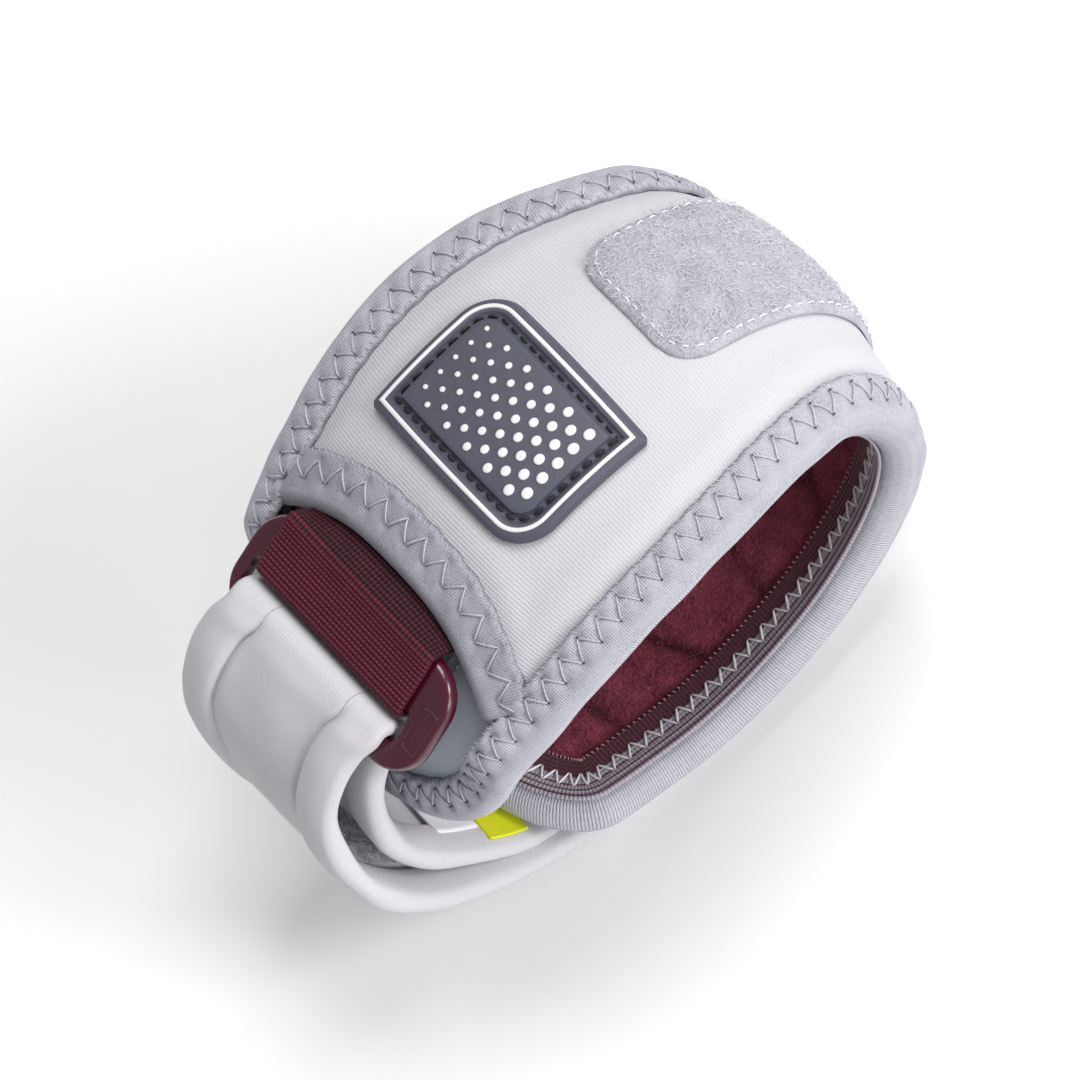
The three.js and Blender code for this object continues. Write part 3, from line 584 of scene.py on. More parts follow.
# Each finish: its light and dark colour as seen, then its weave, nap or roughness.
tapeWeave = {"ribPitch": 0.42, "stitchPitch": 0.4, "valleyShading": 0.3, "depth": 0.12, "nap": 0.62, "patch": 7.0}
panelCloth = knitMaterial("paleKnit", (208, 207, 211), (167, 167, 175), 0.62, 0.5, valleyShading=0.17)
strapCloth = knitMaterial("whiteKnit", (206, 204, 209), (173, 172, 178), 0.4, 0.36, valleyShading=0.08, depth=0.04)
tapeCloth = knitMaterial("greyTape", (192, 192, 202), (84, 85, 95), **tapeWeave)
# Painted shade: the scoop tape takes the rim tape's weave in darker colours, for the shade on that side.
shadedTapeCloth = knitMaterial("shadedScoopTape", (172, 172, 182), (78, 79, 89), **tapeWeave)
cuffEdgeCloth = knitMaterial(
    "ribbedEdge", (204, 204, 213), (138, 139, 150), 0.55, 0.45, valleyShading=0.6, depth=0.2, patch=9.0)
fleeceCloth = napMaterial("plumFleece", (178, 88, 108), (56, 14, 29), 0.6, 0.7, sheen=0.6, patch=4.0)
feltCloth = napMaterial("paleFelt", (208, 208, 216), (150, 150, 160), 0.5, 0.4, sheen=0.4, patch=5.0)
curlCloth = napMaterial("greyFelt", (240, 241, 247), (190, 192, 202), 0.5, 0.4, sheen=0.4, patch=5.0)
palePile = plainMaterial("paleFibre", (242, 242, 248), (196, 196, 206), 0.8, sheen=0.4, specular=0.3)
greyPile = plainMaterial("greyFibre", (250, 250, 253), (206, 208, 216), 0.8, sheen=0.4, specular=0.3)
plumPile = plainMaterial("plumFibre", (186, 100, 120), (96, 34, 52), 0.85, sheen=0.6, specular=0.2)
greyThread = plainMaterial("silverThread", (206, 208, 216), (160, 162, 172), 0.45)
holeShade = plainMaterial("needleHoleShade", (120, 121, 131), (96, 97, 107), 0.95, specular=0.1)
whiteThread = plainMaterial("whiteThread", (250, 250, 253), (222, 223, 230), 0.45)
seamThread = plainMaterial("seamThread", (190, 190, 196), (160, 160, 168), 0.7)
pinkThread = plainMaterial("pinkThread", (226, 176, 188), (160, 100, 118), 0.6)
blackThread = plainMaterial("blackThread", (34, 35, 42), (18, 18, 22), 0.55)
rubber = plainMaterial("slateRubber", (86, 87, 101), (75, 76, 89), 0.55, grain=0.02, specular=0.45)
whiteRubber = plainMaterial("whiteRubber", (240, 240, 240), (224, 224, 226), 0.5, grain=0.02)
bucklePlastic = plainMaterial("plumPlastic", (80, 8, 37), (63, 5, 28), 0.26, coat=0.5, grain=0.015)
flapSheet = plainMaterial("flapSheet", (192, 201, 211), (176, 186, 197), 0.3, coat=0.2, grain=0.02)
limeCloth = plainMaterial("limeTab", (232, 236, 34), (218, 224, 20), 0.7, grain=0.05)
labelSheet = plainMaterial("whiteLabel", (240, 242, 245), (228, 231, 236), 0.22, coat=0.4, grain=0.02)
hookTape = plainMaterial("hookTape", (80, 82, 90), (60, 62, 70), 0.7, grain=0.1)
print("stage: materials ready")


# Outer panel: foam under a pale knit, puffed beside the tapes and pressed thin over the webbing.
panel = {"step": 1.3, "columns": 72, "puff": 0.55, "puffWidth": 3.4, "hollow": 0.2, "unevenness": 0.22, "waveSize": 34}
stations = np.linspace(scoopAt, panelEnd, int((panelEnd - scoopAt) / panel["step"]))
along, share = gridOf(stations, np.linspace(-1, 1, panel["columns"]))
across = share * cuffEdge(along, share, cutInset)
along = along - (scoopAt - scoopEdge(across)) * (1 - ease(0, 40, along - scoopAt))
across = share * cuffEdge(along, share, cutInset)
depthIn, fromScoop = depthFrom(along, across), along - scoopEdge(across)
edgeIn = np.minimum(depthIn, np.where(fromScoop < 40, fromScoop, 99))
lift = panel["puff"] * bump(edgeIn, tapeWidth + 4.5, panel["puffWidth"])
lift = lift - panel["hollow"] * (1 - ease(6.5, 10.5, edgeIn))
lift = lift + panel["unevenness"] * wander(along, across, panel["waveSize"], 3) * ease(10, 20, edgeIn)
overWeb = (1 - ease(scoopAt + 13, scoopAt + 22, along)) * (1 - ease(webHalf + 8, webHalf + 12, np.abs(across)))
outerPanel = shell("outerPanel", onCuff, along, across, lift, (panelWall - pressedWall) * overWeb - panelWall)
finishPiece(outerPanel, panelCloth, ["outer_panel"])
print("stage: outer panel", len(outerPanel.data.polygons))

# Lining: fleece in soft pillows with creases between them, painted darker as shade, flat under the elastic border.
lining = {"step": 1.0, "columns": 70, "pucker": 0.25, "pillow": 1.3, "spacing": 19, "slant": 3.5, "drift": 2,
          "creaseShadeWidth": 0.24, "creaseShade": 0.92, "creaseShadeColour": (28, 4, 12)}
fleeceFibres = {"count": 9000, "length": 1.3, "rise": 0.5, "thickness": 0.05}


# How far a place is from its crease, its pillow's height, how far it settles, and how much of it the border shows.
def fleecePillow(along, across):
    slanted = along + lining["slant"] * np.sin(across / 8 + along / 21)
    slanted = slanted + lining["drift"] * wander(along, across, 30, 12)
    away, depth = np.abs(np.sin(slanted * np.pi / lining["spacing"])), depthFrom(along, across)
    shown = ease(9.5, 12, depth)
    return away, lining["pillow"] * away ** 0.45 * ease(9.5, 14, depth), lining["pillow"] * 0.45 * shown, shown


along, share = gridOf(np.linspace(cutInset + endInset, panelEnd, int(cuffLength / lining["step"])),
              np.linspace(-1, 1, lining["columns"]))
across = share * cuffEdge(along, share, cutInset)
away, pillow, settled, shown = fleecePillow(along, across)
sag = lining["pucker"] * wander(along, across * 0.35, 14, 11) * ease(11, 18, depthFrom(along, across))
liningShell = shell("liningFleece", onCuff, along, across, liningTop(along),
                    liningTop(along) - liningWall + sag * 0.5 * ease(0, 1, pillow) - pillow + settled)
finishPiece(liningShell, fleeceCloth, ["lining"])
# Painted shade: a mask along the creases, which darkens the fleece's colour there.
creaseShadeMask = bump(away, 0, lining["creaseShadeWidth"]) * shown * (0.75 + 0.25 * wander(along, across, 25, 13))
layer = liningShell.data.attributes.new("creaseShadeMask", "FLOAT", "POINT")
layer.data.foreach_set("value", np.concatenate([creaseShadeMask, creaseShadeMask[:, ::-1]], 1).astype(np.float32).ravel())
tree = fleeceCloth.node_tree
fleeceColour = tree.nodes["Principled BSDF"].inputs["Base Color"]
creaseShadeAt = node(tree, "ShaderNodeAttribute", attribute_name="creaseShadeMask")
creaseShadeMix = node(tree, "ShaderNodeMix", data_type="RGBA")
tree.links.new(fleeceColour.links[0].from_socket, creaseShadeMix.inputs[6])
creaseShadeMix.inputs[7].default_value = (*tone(*lining["creaseShadeColour"]), 1)
tree.links.new(calc(tree, "MULTIPLY", creaseShadeAt.outputs["Fac"], lining["creaseShade"]), creaseShadeMix.inputs[0])
tree.links.new(creaseShadeMix.outputs[2], fleeceColour)

# Short fibres of the fleece, lying every way.
draws = np.random.default_rng(15)
along = draws.uniform(20, panelEnd - 12, fleeceFibres["count"])
across = draws.uniform(-1, 1, fleeceFibres["count"]) * (cuffEdge(along, 1, 0) - 11.5)
heading = draws.uniform(0, 2 * np.pi, fleeceFibres["count"])
share = np.linspace(0, 1, 4)
along = along[:, None] + np.cos(heading)[:, None] * share * fleeceFibres["length"]
across = across[:, None] + np.sin(heading)[:, None] * share * fleeceFibres["length"]
_, pillow, settled, _ = fleecePillow(along, across)
level = liningTop(along) - liningWall - pillow + settled - fleeceFibres["rise"] * np.sin(np.pi * share * 0.6)
strands("fleecePile", onCuff(along, across, level), fleeceFibres["thickness"], plumPile, sides=3)
print("stage: lining", len(liningShell.data.polygons))

# Under flap: a smooth sheet with three short rows of stitches.
flap = {"step": 1.2, "columns": 40, "wave": 0.12, "stitchRows": (16.5, 18.2, -16.5), "stitchPitch": 1.5,
        "stitchLength": 1.1, "stitchRise": 0.22, "thread": 0.19}
along, share = gridOf(np.linspace(cutInset + endInset, flapHidden, int(flapHidden / flap["step"])),
              np.linspace(-1, 1, flap["columns"]))
across = share * (cuffEdge(along, share, gap * 3.6) - ease(rimScoopAt - 14, rimScoopAt - 2, along) * 3)
wavy = flapTop + flap["wave"] * wander(along, across, 18, 5)
underFlap = shell("underFlap", onCuff, along, across, wavy, flapTop - flapWall)
finishPiece(underFlap, flapSheet, ["under_flap"])
flapStitchAt = alongAtX(-0.93 * ringReach)
share = np.linspace(0, 1, 5)
strands("flapThread", [
    onCuff(flapStitchAt + k * flap["stitchPitch"] + share * flap["stitchLength"], side,
           flapTop + 0.16 + flap["stitchRise"] * np.sin(np.pi * share))
    for k in range(-7, 8) for side in flap["stitchRows"]], flap["thread"], greyThread, sides=5)
print("stage: under flap", len(underFlap.data.polygons))

# Zigzag seams: the distance between two corners on one side, their depths in the tape, and the tape's dents.
seam = {"pitch": 4.7, "inner": 5.5, "outer": 2.0, "thread": 0.17, "dip": 0.7, "dipRadius": 0.8, "scallop": 0.12,
        "lockPitch": 1.35, "lockStep": 0.7, "lockReach": 0.9, "lockThread": 0.09}


def zigzag(total, pitch, inner, outer):
    count = int(round(total / pitch)) * 2
    places = np.arange(count + 1) * total / count
    return places, np.where(np.arange(count + 1) % 2 == 0, inner, outer)


# How deep the nearest stitch pulls the tape in, from 0 to 1.
def dips(distance, depth, places, depths):
    nearest = np.zeros(np.broadcast(distance, depth).shape)
    step = places[1] - places[0]
    index = np.round(distance / step).astype(int)
    for shift in (-1, 0, 1):
        k = np.mod(index + shift, len(places) - 1)
        away = np.abs(distance - (index + shift) * step)
        nearest = np.maximum(nearest, np.exp(-(away ** 2 + (depth - depths[k]) ** 2) / seam["dipRadius"] ** 2))
    return nearest


def scallops(distance, total, places):
    return seam["scallop"] * np.cos(distance / total * (len(places) - 1) * np.pi)


# The tape's upper leaf, from its scalloped edge to the fold: depths and levels, row by row.
def tapeLeaf(distance, total, places, depths, leaf):
    edgeWave = scallops(distance, total, places)
    for k, share in enumerate(np.linspace(0, 1, 15)):
        depth = (leaf["width"] + edgeWave * (1 - share)) * (1 - share)
        height = tapeWall * (leaf["edge"] + leaf["full"] * math.sqrt(min(1, share * 6))) if k else -0.35
        dent = seam["dip"] * dips(distance, depth, places, depths)
        uneven = leaf["unevenness"] * wander(distance, depth * 1.5, 9, leaf["seed"])
        yield depth, height - dent + 0.3 * bump(depth, 1.2, leaf["roll"]) + uneven


# One strand from hole to hole, arched a little over the tape.
def zigzagThread(name, placeAt, places, depths, radius, material, arch=0.3, sink=0.35, steps=8):
    share = np.linspace(0, 1, steps)
    rise = arch * np.sin(np.pi * share) ** 0.6 - sink * (1 - np.sin(np.pi * share) ** 0.4)
    strands(name, [placeAt(mix(*places[k:k + 2], share), mix(*depths[k:k + 2], share), rise)
                   for k in range(len(places) - 1)], radius, material)


# Overlock: short fine stitches that hold the tape's raw edge down.
def overlock(name, placeAt, starts, edgeWave, width, level):
    share = np.linspace(0, 1, 5)
    rise = level + 0.35 * np.sin(np.pi * share) + 0.5 * share
    lines = [placeAt(p + share * seam["lockStep"], width + w + 0.08 - share * seam["lockReach"], rise)
             for p, w in zip(starts, edgeWave)]
    strands(name, lines, seam["lockThread"], greyThread, sides=5)


# Rim tape: folded over the cut edge all round, a little higher where the scoop's tape runs under it.
rim = {"width": tapeWidth, "edge": 0.45, "full": 0.75, "roll": 2.2, "unevenness": 0.16, "seed": 21, "step": 0.75,
       "quilt": 0.22, "noseWave": 0.06, "underWave": 0.1, "foldTurns": (60, 35, 10, -15, -40, -65)}


def overScoop(along, depth):
    return bump(along, rimScoopAt + 3.5, 5.5) * ease(0.5, 3, depth)


rimPlaces, rimDepths = zigzag(edgeTotal, seam["pitch"], seam["inner"], seam["outer"])
distances = np.linspace(0, edgeTotal, int(edgeTotal / rim["step"]), endpoint=False)
rimAlong = onEdge(distances)[0][:, 0]
top, bottom = tapeTop(rimAlong) + tapeLift, borderTop(rimAlong)
middle, tall = (top + bottom) / 2, (top - bottom) / 2
rimRows = []  # depth, level and place on the flat map
for depth, level in tapeLeaf(distances, edgeTotal, rimPlaces, rimDepths, rim):
    waves = np.cos(distances / edgeTotal * (len(rimPlaces) - 1) * np.pi + np.pi * (depth > 4.1))
    quilt = rim["quilt"] * ease(0.8, 2.5, depth) * (1 - ease(6, 7, depth)) * waves
    rimRows.append((depth, top + level + quilt + overScoop(rimAlong, depth), depth))
for turn in np.radians(rim["foldTurns"]):
    reach = tapeNose * math.cos(turn) * (1 + rim["noseWave"] * wander(distances, 0, 12, 31))
    rimRows.append((-reach, middle + (tall + tapeWall) * math.sin(turn), -2 + turn))
for depth in (0, 1.2, 2.4, innerTape):
    rimRows.append((depth, bottom - tapeWall + rim["underWave"] * wander(distances, 0, 6, 41), -5 - depth))
rimRows += [(depth, level, depth) for depth, level in (
    (innerTape, bottom), (0, bottom), (-1.1, middle - tall * 0.4), (-1.1, middle + tall * 0.4), (0, top),
    (tapeWidth - 0.8, top))]
rimTape = wrapped("rimTape", [(onEdgeCuff(distances, depth, level), pair(distances, flat))
                              for depth, level, flat in rimRows], closeRows=True)
finishPiece(rimTape, tapeCloth, ["rim_binding"])
rimTape.data.materials.append(cuffEdgeCloth)
ring = np.arange(len(rimTape.data.polygons)) % len(rimRows)
rimTape.data.polygons.foreach_set("material_index", ((ring >= 16) & (ring <= 24)).astype(np.int32))
print("stage: rim tape", len(rimTape.data.polygons))


def onRimTape(distance, depth, rise):
    along = onEdge(distance)[0][..., 0]
    return onEdgeCuff(distance, depth, tapeTop(along) + tapeLift + tapeWall * 1.2 + overScoop(along, depth) + rise)


zigzagThread("rimThread", onRimTape, rimPlaces, rimDepths, seam["thread"], greyThread)
# Painted shade: short dark strands sunk in the tape at each needle hole.
holeShadeLines = [onRimTape(np.full(3, p), np.full(3, d), np.array([-0.55, -0.2, 0.02]))
         for p, d in zip(rimPlaces[:-1], rimDepths[:-1])]
strands("rimHoleShade", holeShadeLines, 0.18, holeShade, sides=7, taper=False)
lockPlaces = np.arange(0, edgeTotal, seam["lockPitch"])
overlock("rimOverlock", onRimTape, lockPlaces, scallops(lockPlaces, edgeTotal, rimPlaces), tapeWidth, -0.8)
print("stage: rim seams")

# Scoop tape: the same tape over the panel's scooped end, in darker colours as painted shade.
scoop = {"width": scoopTapeWidth, "edge": 0.4, "full": 0.7, "roll": 2.4, "unevenness": 0.15, "seed": 22}
scoopReach = cuffEdge(rimScoopAt, -1, 0) - tapeWidth * 0.55
scoopAcross = np.linspace(-scoopReach, scoopReach, 110)
scoopRun = runOf(pair(scoopAcross, scoopEdge(scoopAcross)))
scoopPlaces, scoopDepths = zigzag(scoopRun[-1], seam["pitch"], seam["inner"] + 0.7, seam["outer"] + 0.7)
slopeIn = np.gradient(scoopEdge(scoopAcross), scoopAcross)
inAlong, inAcross = 1 / np.hypot(1, slopeIn), -slopeIn / np.hypot(1, slopeIn)


def onScoop(run, depth, out):
    a = np.interp(run, scoopRun, scoopAcross)
    return onCuff(scoopEdge(a) + np.interp(run, scoopRun, inAlong) * depth,
                  a + np.interp(run, scoopRun, inAcross) * depth, out)


scoopRows = [(depth, tapeLift + level)
             for depth, level in tapeLeaf(scoopRun, scoopRun[-1], scoopPlaces, scoopDepths, scoop)]
scoopRows += [(-1.1, 0.9), (-1.75, 0.3), (-1.9, -0.5), (-1.8, -1.4), (-0.85, -1.4), (-0.85, 0.3), (0, tapeLift),
              (scoopTapeWidth - 0.8, tapeLift)]
scoopTape = wrapped("scoopTape", [(onScoop(scoopRun, depth, level), pair(scoopRun, depth))
                                  for depth, level in scoopRows], capped=True)
finishPiece(scoopTape, shadedTapeCloth, ["scoop_binding"])
zigzagThread("scoopThread", lambda run, depth, rise: onScoop(run, depth, tapeLift + tapeWall * 1.15 + rise),
             scoopPlaces, scoopDepths, seam["thread"], greyThread)
lockPlaces = np.arange(0.5, scoopRun[-1] - 0.5, seam["lockPitch"])
edgeWave = np.interp(lockPlaces, scoopRun, scallops(scoopRun, scoopRun[-1], scoopPlaces))
overlock("scoopOverlock", onScoop, lockPlaces, edgeWave, scoopTapeWidth, tapeLift + 0.25)
print("stage: scoop tape")

# Elastic border inside the rims: its section as depth and drop, its stripes as pairs of edges, pale first.
border = {"start": -0.5, "wide": 10.2, "step": 0.9, "pitch": 3.6, "inner": 7.0, "outer": 3.4, "thread": 0.22,
          "beadPitch": 1.15, "beadThread": 0.16, "plum": (86, 30, 48), "pale": (178, 172, 184),
          "ribPitch": 0.8, "cordPitch": 0.9,
          "stripes": (0, 0.05, 0.07, 0.1, 0.12, 0.19, 0.21, 0.24, 0.26, 0.34, 0.36, 0.39, 0.41, 0.54, 0.58, 1)}
borderSection = [
    (0, 1.15), (0, 1.5), (0.5, 1.75), (1.4, 1.65), (2.2, 1.6), (3.1, 1.35), (4.0, 1.15), (5.0, 1.0), (6.2, 0.95),
    (7.6, 0.85), (9.2, 0.9), (10.2, 0.6), (10.2, 0.0), (2.6, 0.0), (2.1, 1.15)]
distances = np.linspace(0, edgeTotal, int(edgeTotal / border["step"]), endpoint=False)
level = borderTop(onEdge(distances)[0][:, 0])
elasticBorder = wrapped("elasticBorder", [
    (onEdgeCuff(distances, border["start"] + depth, level - drop), pair(distances, depth))
    for depth, drop in borderSection], closeRows=True)
material, tree, shader, flat = startMaterial("stripedElastic", 0.8, sheen=0.2)
alongMm, inMm = flatMm(tree, flat)
stripes = node(tree, "ShaderNodeValToRGB")
while len(stripes.color_ramp.elements) < len(border["stripes"]):
    stripes.color_ramp.elements.new(0.5)
for k, (element, position) in enumerate(zip(stripes.color_ramp.elements, border["stripes"])):
    element.position = position
    element.color = (*tone(*border["plum" if k // 2 % 2 else "pale"]), 1)
tree.links.new(calc(tree, "DIVIDE", inMm, border["wide"]), stripes.inputs[0])
tree.links.new(stripes.outputs[0], shader.inputs["Base Color"])
ribs, cords = (calc(tree, "SINE", calc(tree, "MULTIPLY", place, 2 * math.pi / border[pitch]))
               for place, pitch in ((alongMm, "ribPitch"), (inMm, "cordPitch")))
relief(tree, shader, calc(tree, "ADD", ribs, cords), 0.08)
finishPiece(elasticBorder, material, ["elastic_border"])


def onBorder(distance, depth, rise):
    under = np.interp(depth, *zip(*borderSection[1:12]))
    return onEdgeCuff(distance, border["start"] + depth, borderTop(onEdge(distance)[0][..., 0]) - under - rise)


borderPlaces, borderDepths = zigzag(edgeTotal, border["pitch"], border["inner"], border["outer"])
zigzagThread("borderThread", onBorder, borderPlaces, borderDepths, border["thread"], whiteThread,
             arch=0.2, sink=0.15, steps=6)
share = np.linspace(0, 1, 4)
beads = [onBorder(p + share * 0.35, 9.5 + share * 0.75, 0.08 + 0.2 * np.sin(np.pi * share))
         for p in np.arange(0, edgeTotal, border["beadPitch"])]
strands("borderOverlock", beads, border["beadThread"], pinkThread, sides=5)
print("stage: elastic border")

# Webbing: from under the panel over the buckle's inner bar and back, ribbed across its run, with painted shade where
# it comes out from under the scoop tape.
web = {"ribPitch": 0.9, "ribHeight": 0.42, "beadPitch": 0.85, "shadeStrip": 7.0, "columns": 60, "step": 0.155,
       "middle": -0.04 * cuffHalf, "dark": (8, 1, 4), "light": (122, 38, 62)}
webLift = buckleWall / 2 + gap + webWall / 2
webTurn = slotStart + gap + webWall / 2
webLine = lineThrough([dict(onBuckle(a, o), middle=web["middle"]) for a, o in (
    (-buckleLength / 2, webLift + 0.4), (-buckleLength / 2 + 3.5, webLift), (slotStart - 4, webLift),
    (slotStart - 0.7, webLift), (webTurn - 0.1, webLift * 0.82), (webTurn, 0), (webTurn - 0.1, -webLift * 0.82),
    (slotStart - 0.7, -webLift), (slotStart - 4, -webLift), (-buckleLength / 2 + 1, -webLift))], ["middle"])
webAcross = np.linspace(-webHalf, webHalf, web["columns"])
cuffPlace = webAcross + web["middle"]
tip = scoopEdge(cuffPlace) - (gap * 2.8 + tapeWall + 0.4)
hiddenRows = [onCuff(mix(scoopAt + 10, tip, s), cuffPlace, -(pressedWall + gap + webWall / 2))
              for s in np.linspace(0, 1, 12)]
shownRows = [onBand(webLine, s, webAcross, 0) for s in np.arange(0, webLine["length"], web["step"])]
bridge = [mix(hiddenRows[-1], shownRows[0], s) + np.array([0, 0, 0.35 * math.sin(math.pi * s)])
          for s in np.linspace(0, 1, 26)[1:-1]]
webGrid = np.array(hiddenRows + bridge + shownRows)
webRun = np.r_[0, np.cumsum(np.linalg.norm(np.diff(webGrid[:, 30], axis=0), axis=-1))]
normal = np.cross(np.gradient(webGrid, axis=0), np.gradient(webGrid, axis=1))
normal /= np.linalg.norm(normal, axis=-1, keepdims=True) * np.sign(normal[20, 30, 2])
ribWave = web["ribHeight"] * (np.abs(np.sin(np.pi * webRun / web["ribPitch"])) ** 0.7 - 0.5)[:, None]
edgeDrop = -0.25 * ease(webHalf - 0.9, webHalf, np.abs(webAcross))[None, :]
webbing = shell("webbingCloth", lambda run, across, out: webGrid + normal * out[..., None], webRun[:, None],
                webAcross[None, :], webWall / 2 + ribWave + edgeDrop, -(webWall / 2 + ribWave * 0.5 + edgeDrop))
material, tree, shader, flat = startMaterial(
    "plumWebbing", 0.62, sheen=0.15, specular=0.3, tint=tone(150, 50, 80))
do = partial(calc, tree)
runMm, acrossMm = flatMm(tree, flat)
# Painted shade: the colour is darkened in the rib valleys and between the beads of the weave.
ribShade = do("POWER", do("ABSOLUTE", do("SINE", do("MULTIPLY", runMm, math.pi / web["ribPitch"]))), 0.8)
beadPhase = do("SINE", do("MULTIPLY", acrossMm, 2 * math.pi / web["beadPitch"]))
weaveHeight = do("MULTIPLY_ADD", beadPhase, 0.5, 0.5)
fuzz = placed(tree, brushed, Place=flat, Tuft_size=0.3, Streak=1.0, Patchiness=6.0)
# Painted shade: a darker strip where the webbing comes out from under the scoop tape.
shadeStripEnd = float(webRun[len(hiddenRows) - 1]) + web["shadeStrip"]
inShadeStrip = do("MULTIPLY", do("LESS_THAN", runMm, shadeStripEnd), 0.3)
lit = do("MULTIPLY", ribShade, do("MULTIPLY_ADD", weaveHeight, 0.35, 0.65))
mixed = do("SUBTRACT", do("MULTIPLY_ADD", lit, 0.75, do("MULTIPLY", fuzz.outputs["Shade"], 0.4)), inShadeStrip)
shadeBy(tree, shader, mixed, tone(*web["dark"]), tone(*web["light"]), 0.22, 1.1)
relief(tree, shader, do("ADD", weaveHeight, fuzz.outputs["Height"]), 0.2)
finishPiece(webbing, material, ["webbing"])
print("stage: webbing", len(webbing.data.polygons))


# A rectangle's outline with its own radius at each corner, drawn in by an inset.
def cornerPath(halfAlong, halfAcross, radii, inset=0):
    signs = [(1, 1), (-1, 1), (-1, -1), (1, -1)]

    def corner(k, turn):
        r, full = max(radii[k] - inset, 0.05), max(radii[k], inset + 0.05)
        return (signs[k][0] * (halfAlong - full) + r * math.cos(turn),
                signs[k][1] * (halfAcross - full) + r * math.sin(turn))

    points = []
    for k in range(4):
        points += [corner(k, math.pi / 2 * (k + t)) for t in np.linspace(0, 1, 14)]
        start, end = np.array(points[-1]), np.array(corner((k + 1) % 4, math.pi / 2 * (k + 1)))
        points += [mix(start, end, t) for t in np.linspace(0, 1, 22)[1:-1]]
    return np.array(points)


# Buckle: one ring of sections from the slot over the face to the outside, and a small bare frame at its front end.
plate = {"slotRound": 1.0, "frameSize": (4.5, 1.9), "frameRound": 0.6, "frameAlong": 0.4, "frameAcross": 22.4,
         "frameSteps": ((0, -0.05), (0.08, 0.16), (0.4, 0.16), (0.48, -0.05))}


def buckleRing(ring, out, along=0, across=0):
    spot = onBuckle(ring[:, 0] + along, out)
    return np.stack([spot["x"], -(ring[:, 1] + across), spot["z"]], -1)


outside = cornerPath(buckleLength / 2, buckleHalf, [buckleRound] * 4)
slotPath = cornerPath(slotLength / 2, strapHalf + gap * 2.4, [plate["slotRound"]] * 4)
slotPath += np.array([(slotStart + slotEnd) / 2, slotMiddle - gap])
half = buckleWall / 2
profile = [(0.0, -half + 0.5), (0.0, 0.0), (0.0, half - 0.5), (0.02, half - 0.2), (0.06, half - 0.05), (0.12, half),
           (0.45, half + 0.02), (0.8, half), (0.9, half - 0.05), (0.955, half - 0.35), (0.985, half - 0.8),
           (1.0, half - 1.3), (1.0, -half + 0.9), (0.985, -half + 0.4), (0.95, -half + 0.05), (0.8, -half),
           (0.2, -half), (0.05, -half + 0.1)]
rings = np.array([buckleRing(mix(slotPath, outside, share), out) for share, out in profile])
finishPiece(gridMesh("buckleBody", rings, closeRows=True), bucklePlastic, ["buckle"])
rings = np.array([buckleRing(cornerPath(*(size - step for size in plate["frameSize"]), [plate["frameRound"]] * 4),
                             half + rise, plate["frameAlong"], plate["frameAcross"])
                  for step, rise in plate["frameSteps"]])
finishPiece(gridMesh("buckleFrame", rings, closeRows=True), bucklePlastic)
print("stage: buckle")

# Strap: padded between two seams with a rolled edge beside each, flat at the bar and where it rests.
strap = {"step": 0.9, "seamDip": 1.25, "rollPuff": 0.55, "unevenness": 0.26, "crown": 0.35, "rollWave": 0.2,
         "seamThread": 0.12}
steps = np.linspace(0, strapLength, int(strapLength / strap["step"]))
roll = ease(3, 8, np.abs(steps - slotAlong)) * mix(0.1, 1, ease(2, 16, strapLength - steps))
rest = ease(restFrom - 12, restFrom, steps) * (1 - ease(restTo, restTo + 12, steps))
loose, pulled = roll * (1 - rest), roll * (1 - rest * 0.8)
edge = mix(strapWall, strapRoll, roll) / 2
seamAt = strapHalf - rollWidth
feltBed = -strapWall / 2 + feltWall + gap
frontLevel = mix(np.full_like(steps, strapWall / 2), edge, rest)
rollSides = ((1, 0, 52), (-1, 9, 53))  # side, and the place and seed of its waves


# One rolled edge, from the front seam round to the back seam: places across and levels.
def rollColumns(sign):
    for share in np.linspace(0, 1, 12):
        puff = np.sin(np.pi * min(1, share * 1.05 + 0.12) * 0.5) ** 0.5
        level = mix(frontLevel, edge, puff) - strap["seamDip"] * bump(share, 0, 0.1) * pulled
        level = level + strap["rollPuff"] * math.sin(math.pi * share) ** 0.7 * loose
        yield sign * (seamAt + share * (rollWidth - edge * 0.9)), level
    for turn in np.radians(np.linspace(85, -85, 11))[1:-1]:
        yield sign * (strapHalf - edge * 0.9 + edge * 0.9 * math.cos(turn)), edge * math.sin(turn)
    for share in np.linspace(1, 0, 9):
        puff = math.sin(math.pi / 2 * min(1, share + 0.1)) ** 0.5
        place = seamAt + 0.4 + share * (rollWidth - 0.4 - edge * 0.9)
        yield sign * place, -mix(np.full_like(steps, strapWall / 2), edge, puff)
    yield sign * seamAt, np.full_like(steps, feltBed)


def rollWaves(phase, seed):
    return strap["rollWave"] * wander(steps, phase, 13, seed) * loose


columns = []
for across in np.linspace(-seamAt + 0.3, seamAt - 0.3, 22):
    crown = strap["crown"] * np.cos(across / seamAt * math.pi / 2) * loose
    uneven = strap["unevenness"] * wander(steps, across * 1.3, 16, 51) * loose
    columns.append((onStrap(steps, across, frontLevel + crown + uneven), pair(steps, across)))
for sign, phase, seed in rollSides:
    for across, out in list(rollColumns(sign))[::sign]:
        columns.append((onStrap(steps, across, out + rollWaves(phase, seed) * np.sign(out)), pair(steps, across)))
strapBody = wrapped("strapBody", columns, capped=True)
finishPiece(strapBody, strapCloth, ["strap"])
print("stage: strap", len(strapBody.data.polygons))

# A sunk seam line beside each rolled edge.
seamRun = np.linspace(3, strapLength - 3, 700)
seamLines = []
for sign, phase, seed in rollSides:
    level = mix(frontLevel, edge, 0.43) - strap["seamDip"] * pulled + rollWaves(phase, seed)
    seamLines.append(onStrap(seamRun, sign * (seamAt + 0.05), np.interp(seamRun, steps, level) - 0.04))
strands("strapSeam", seamLines, strap["seamThread"], seamThread, sides=5, taper=False)


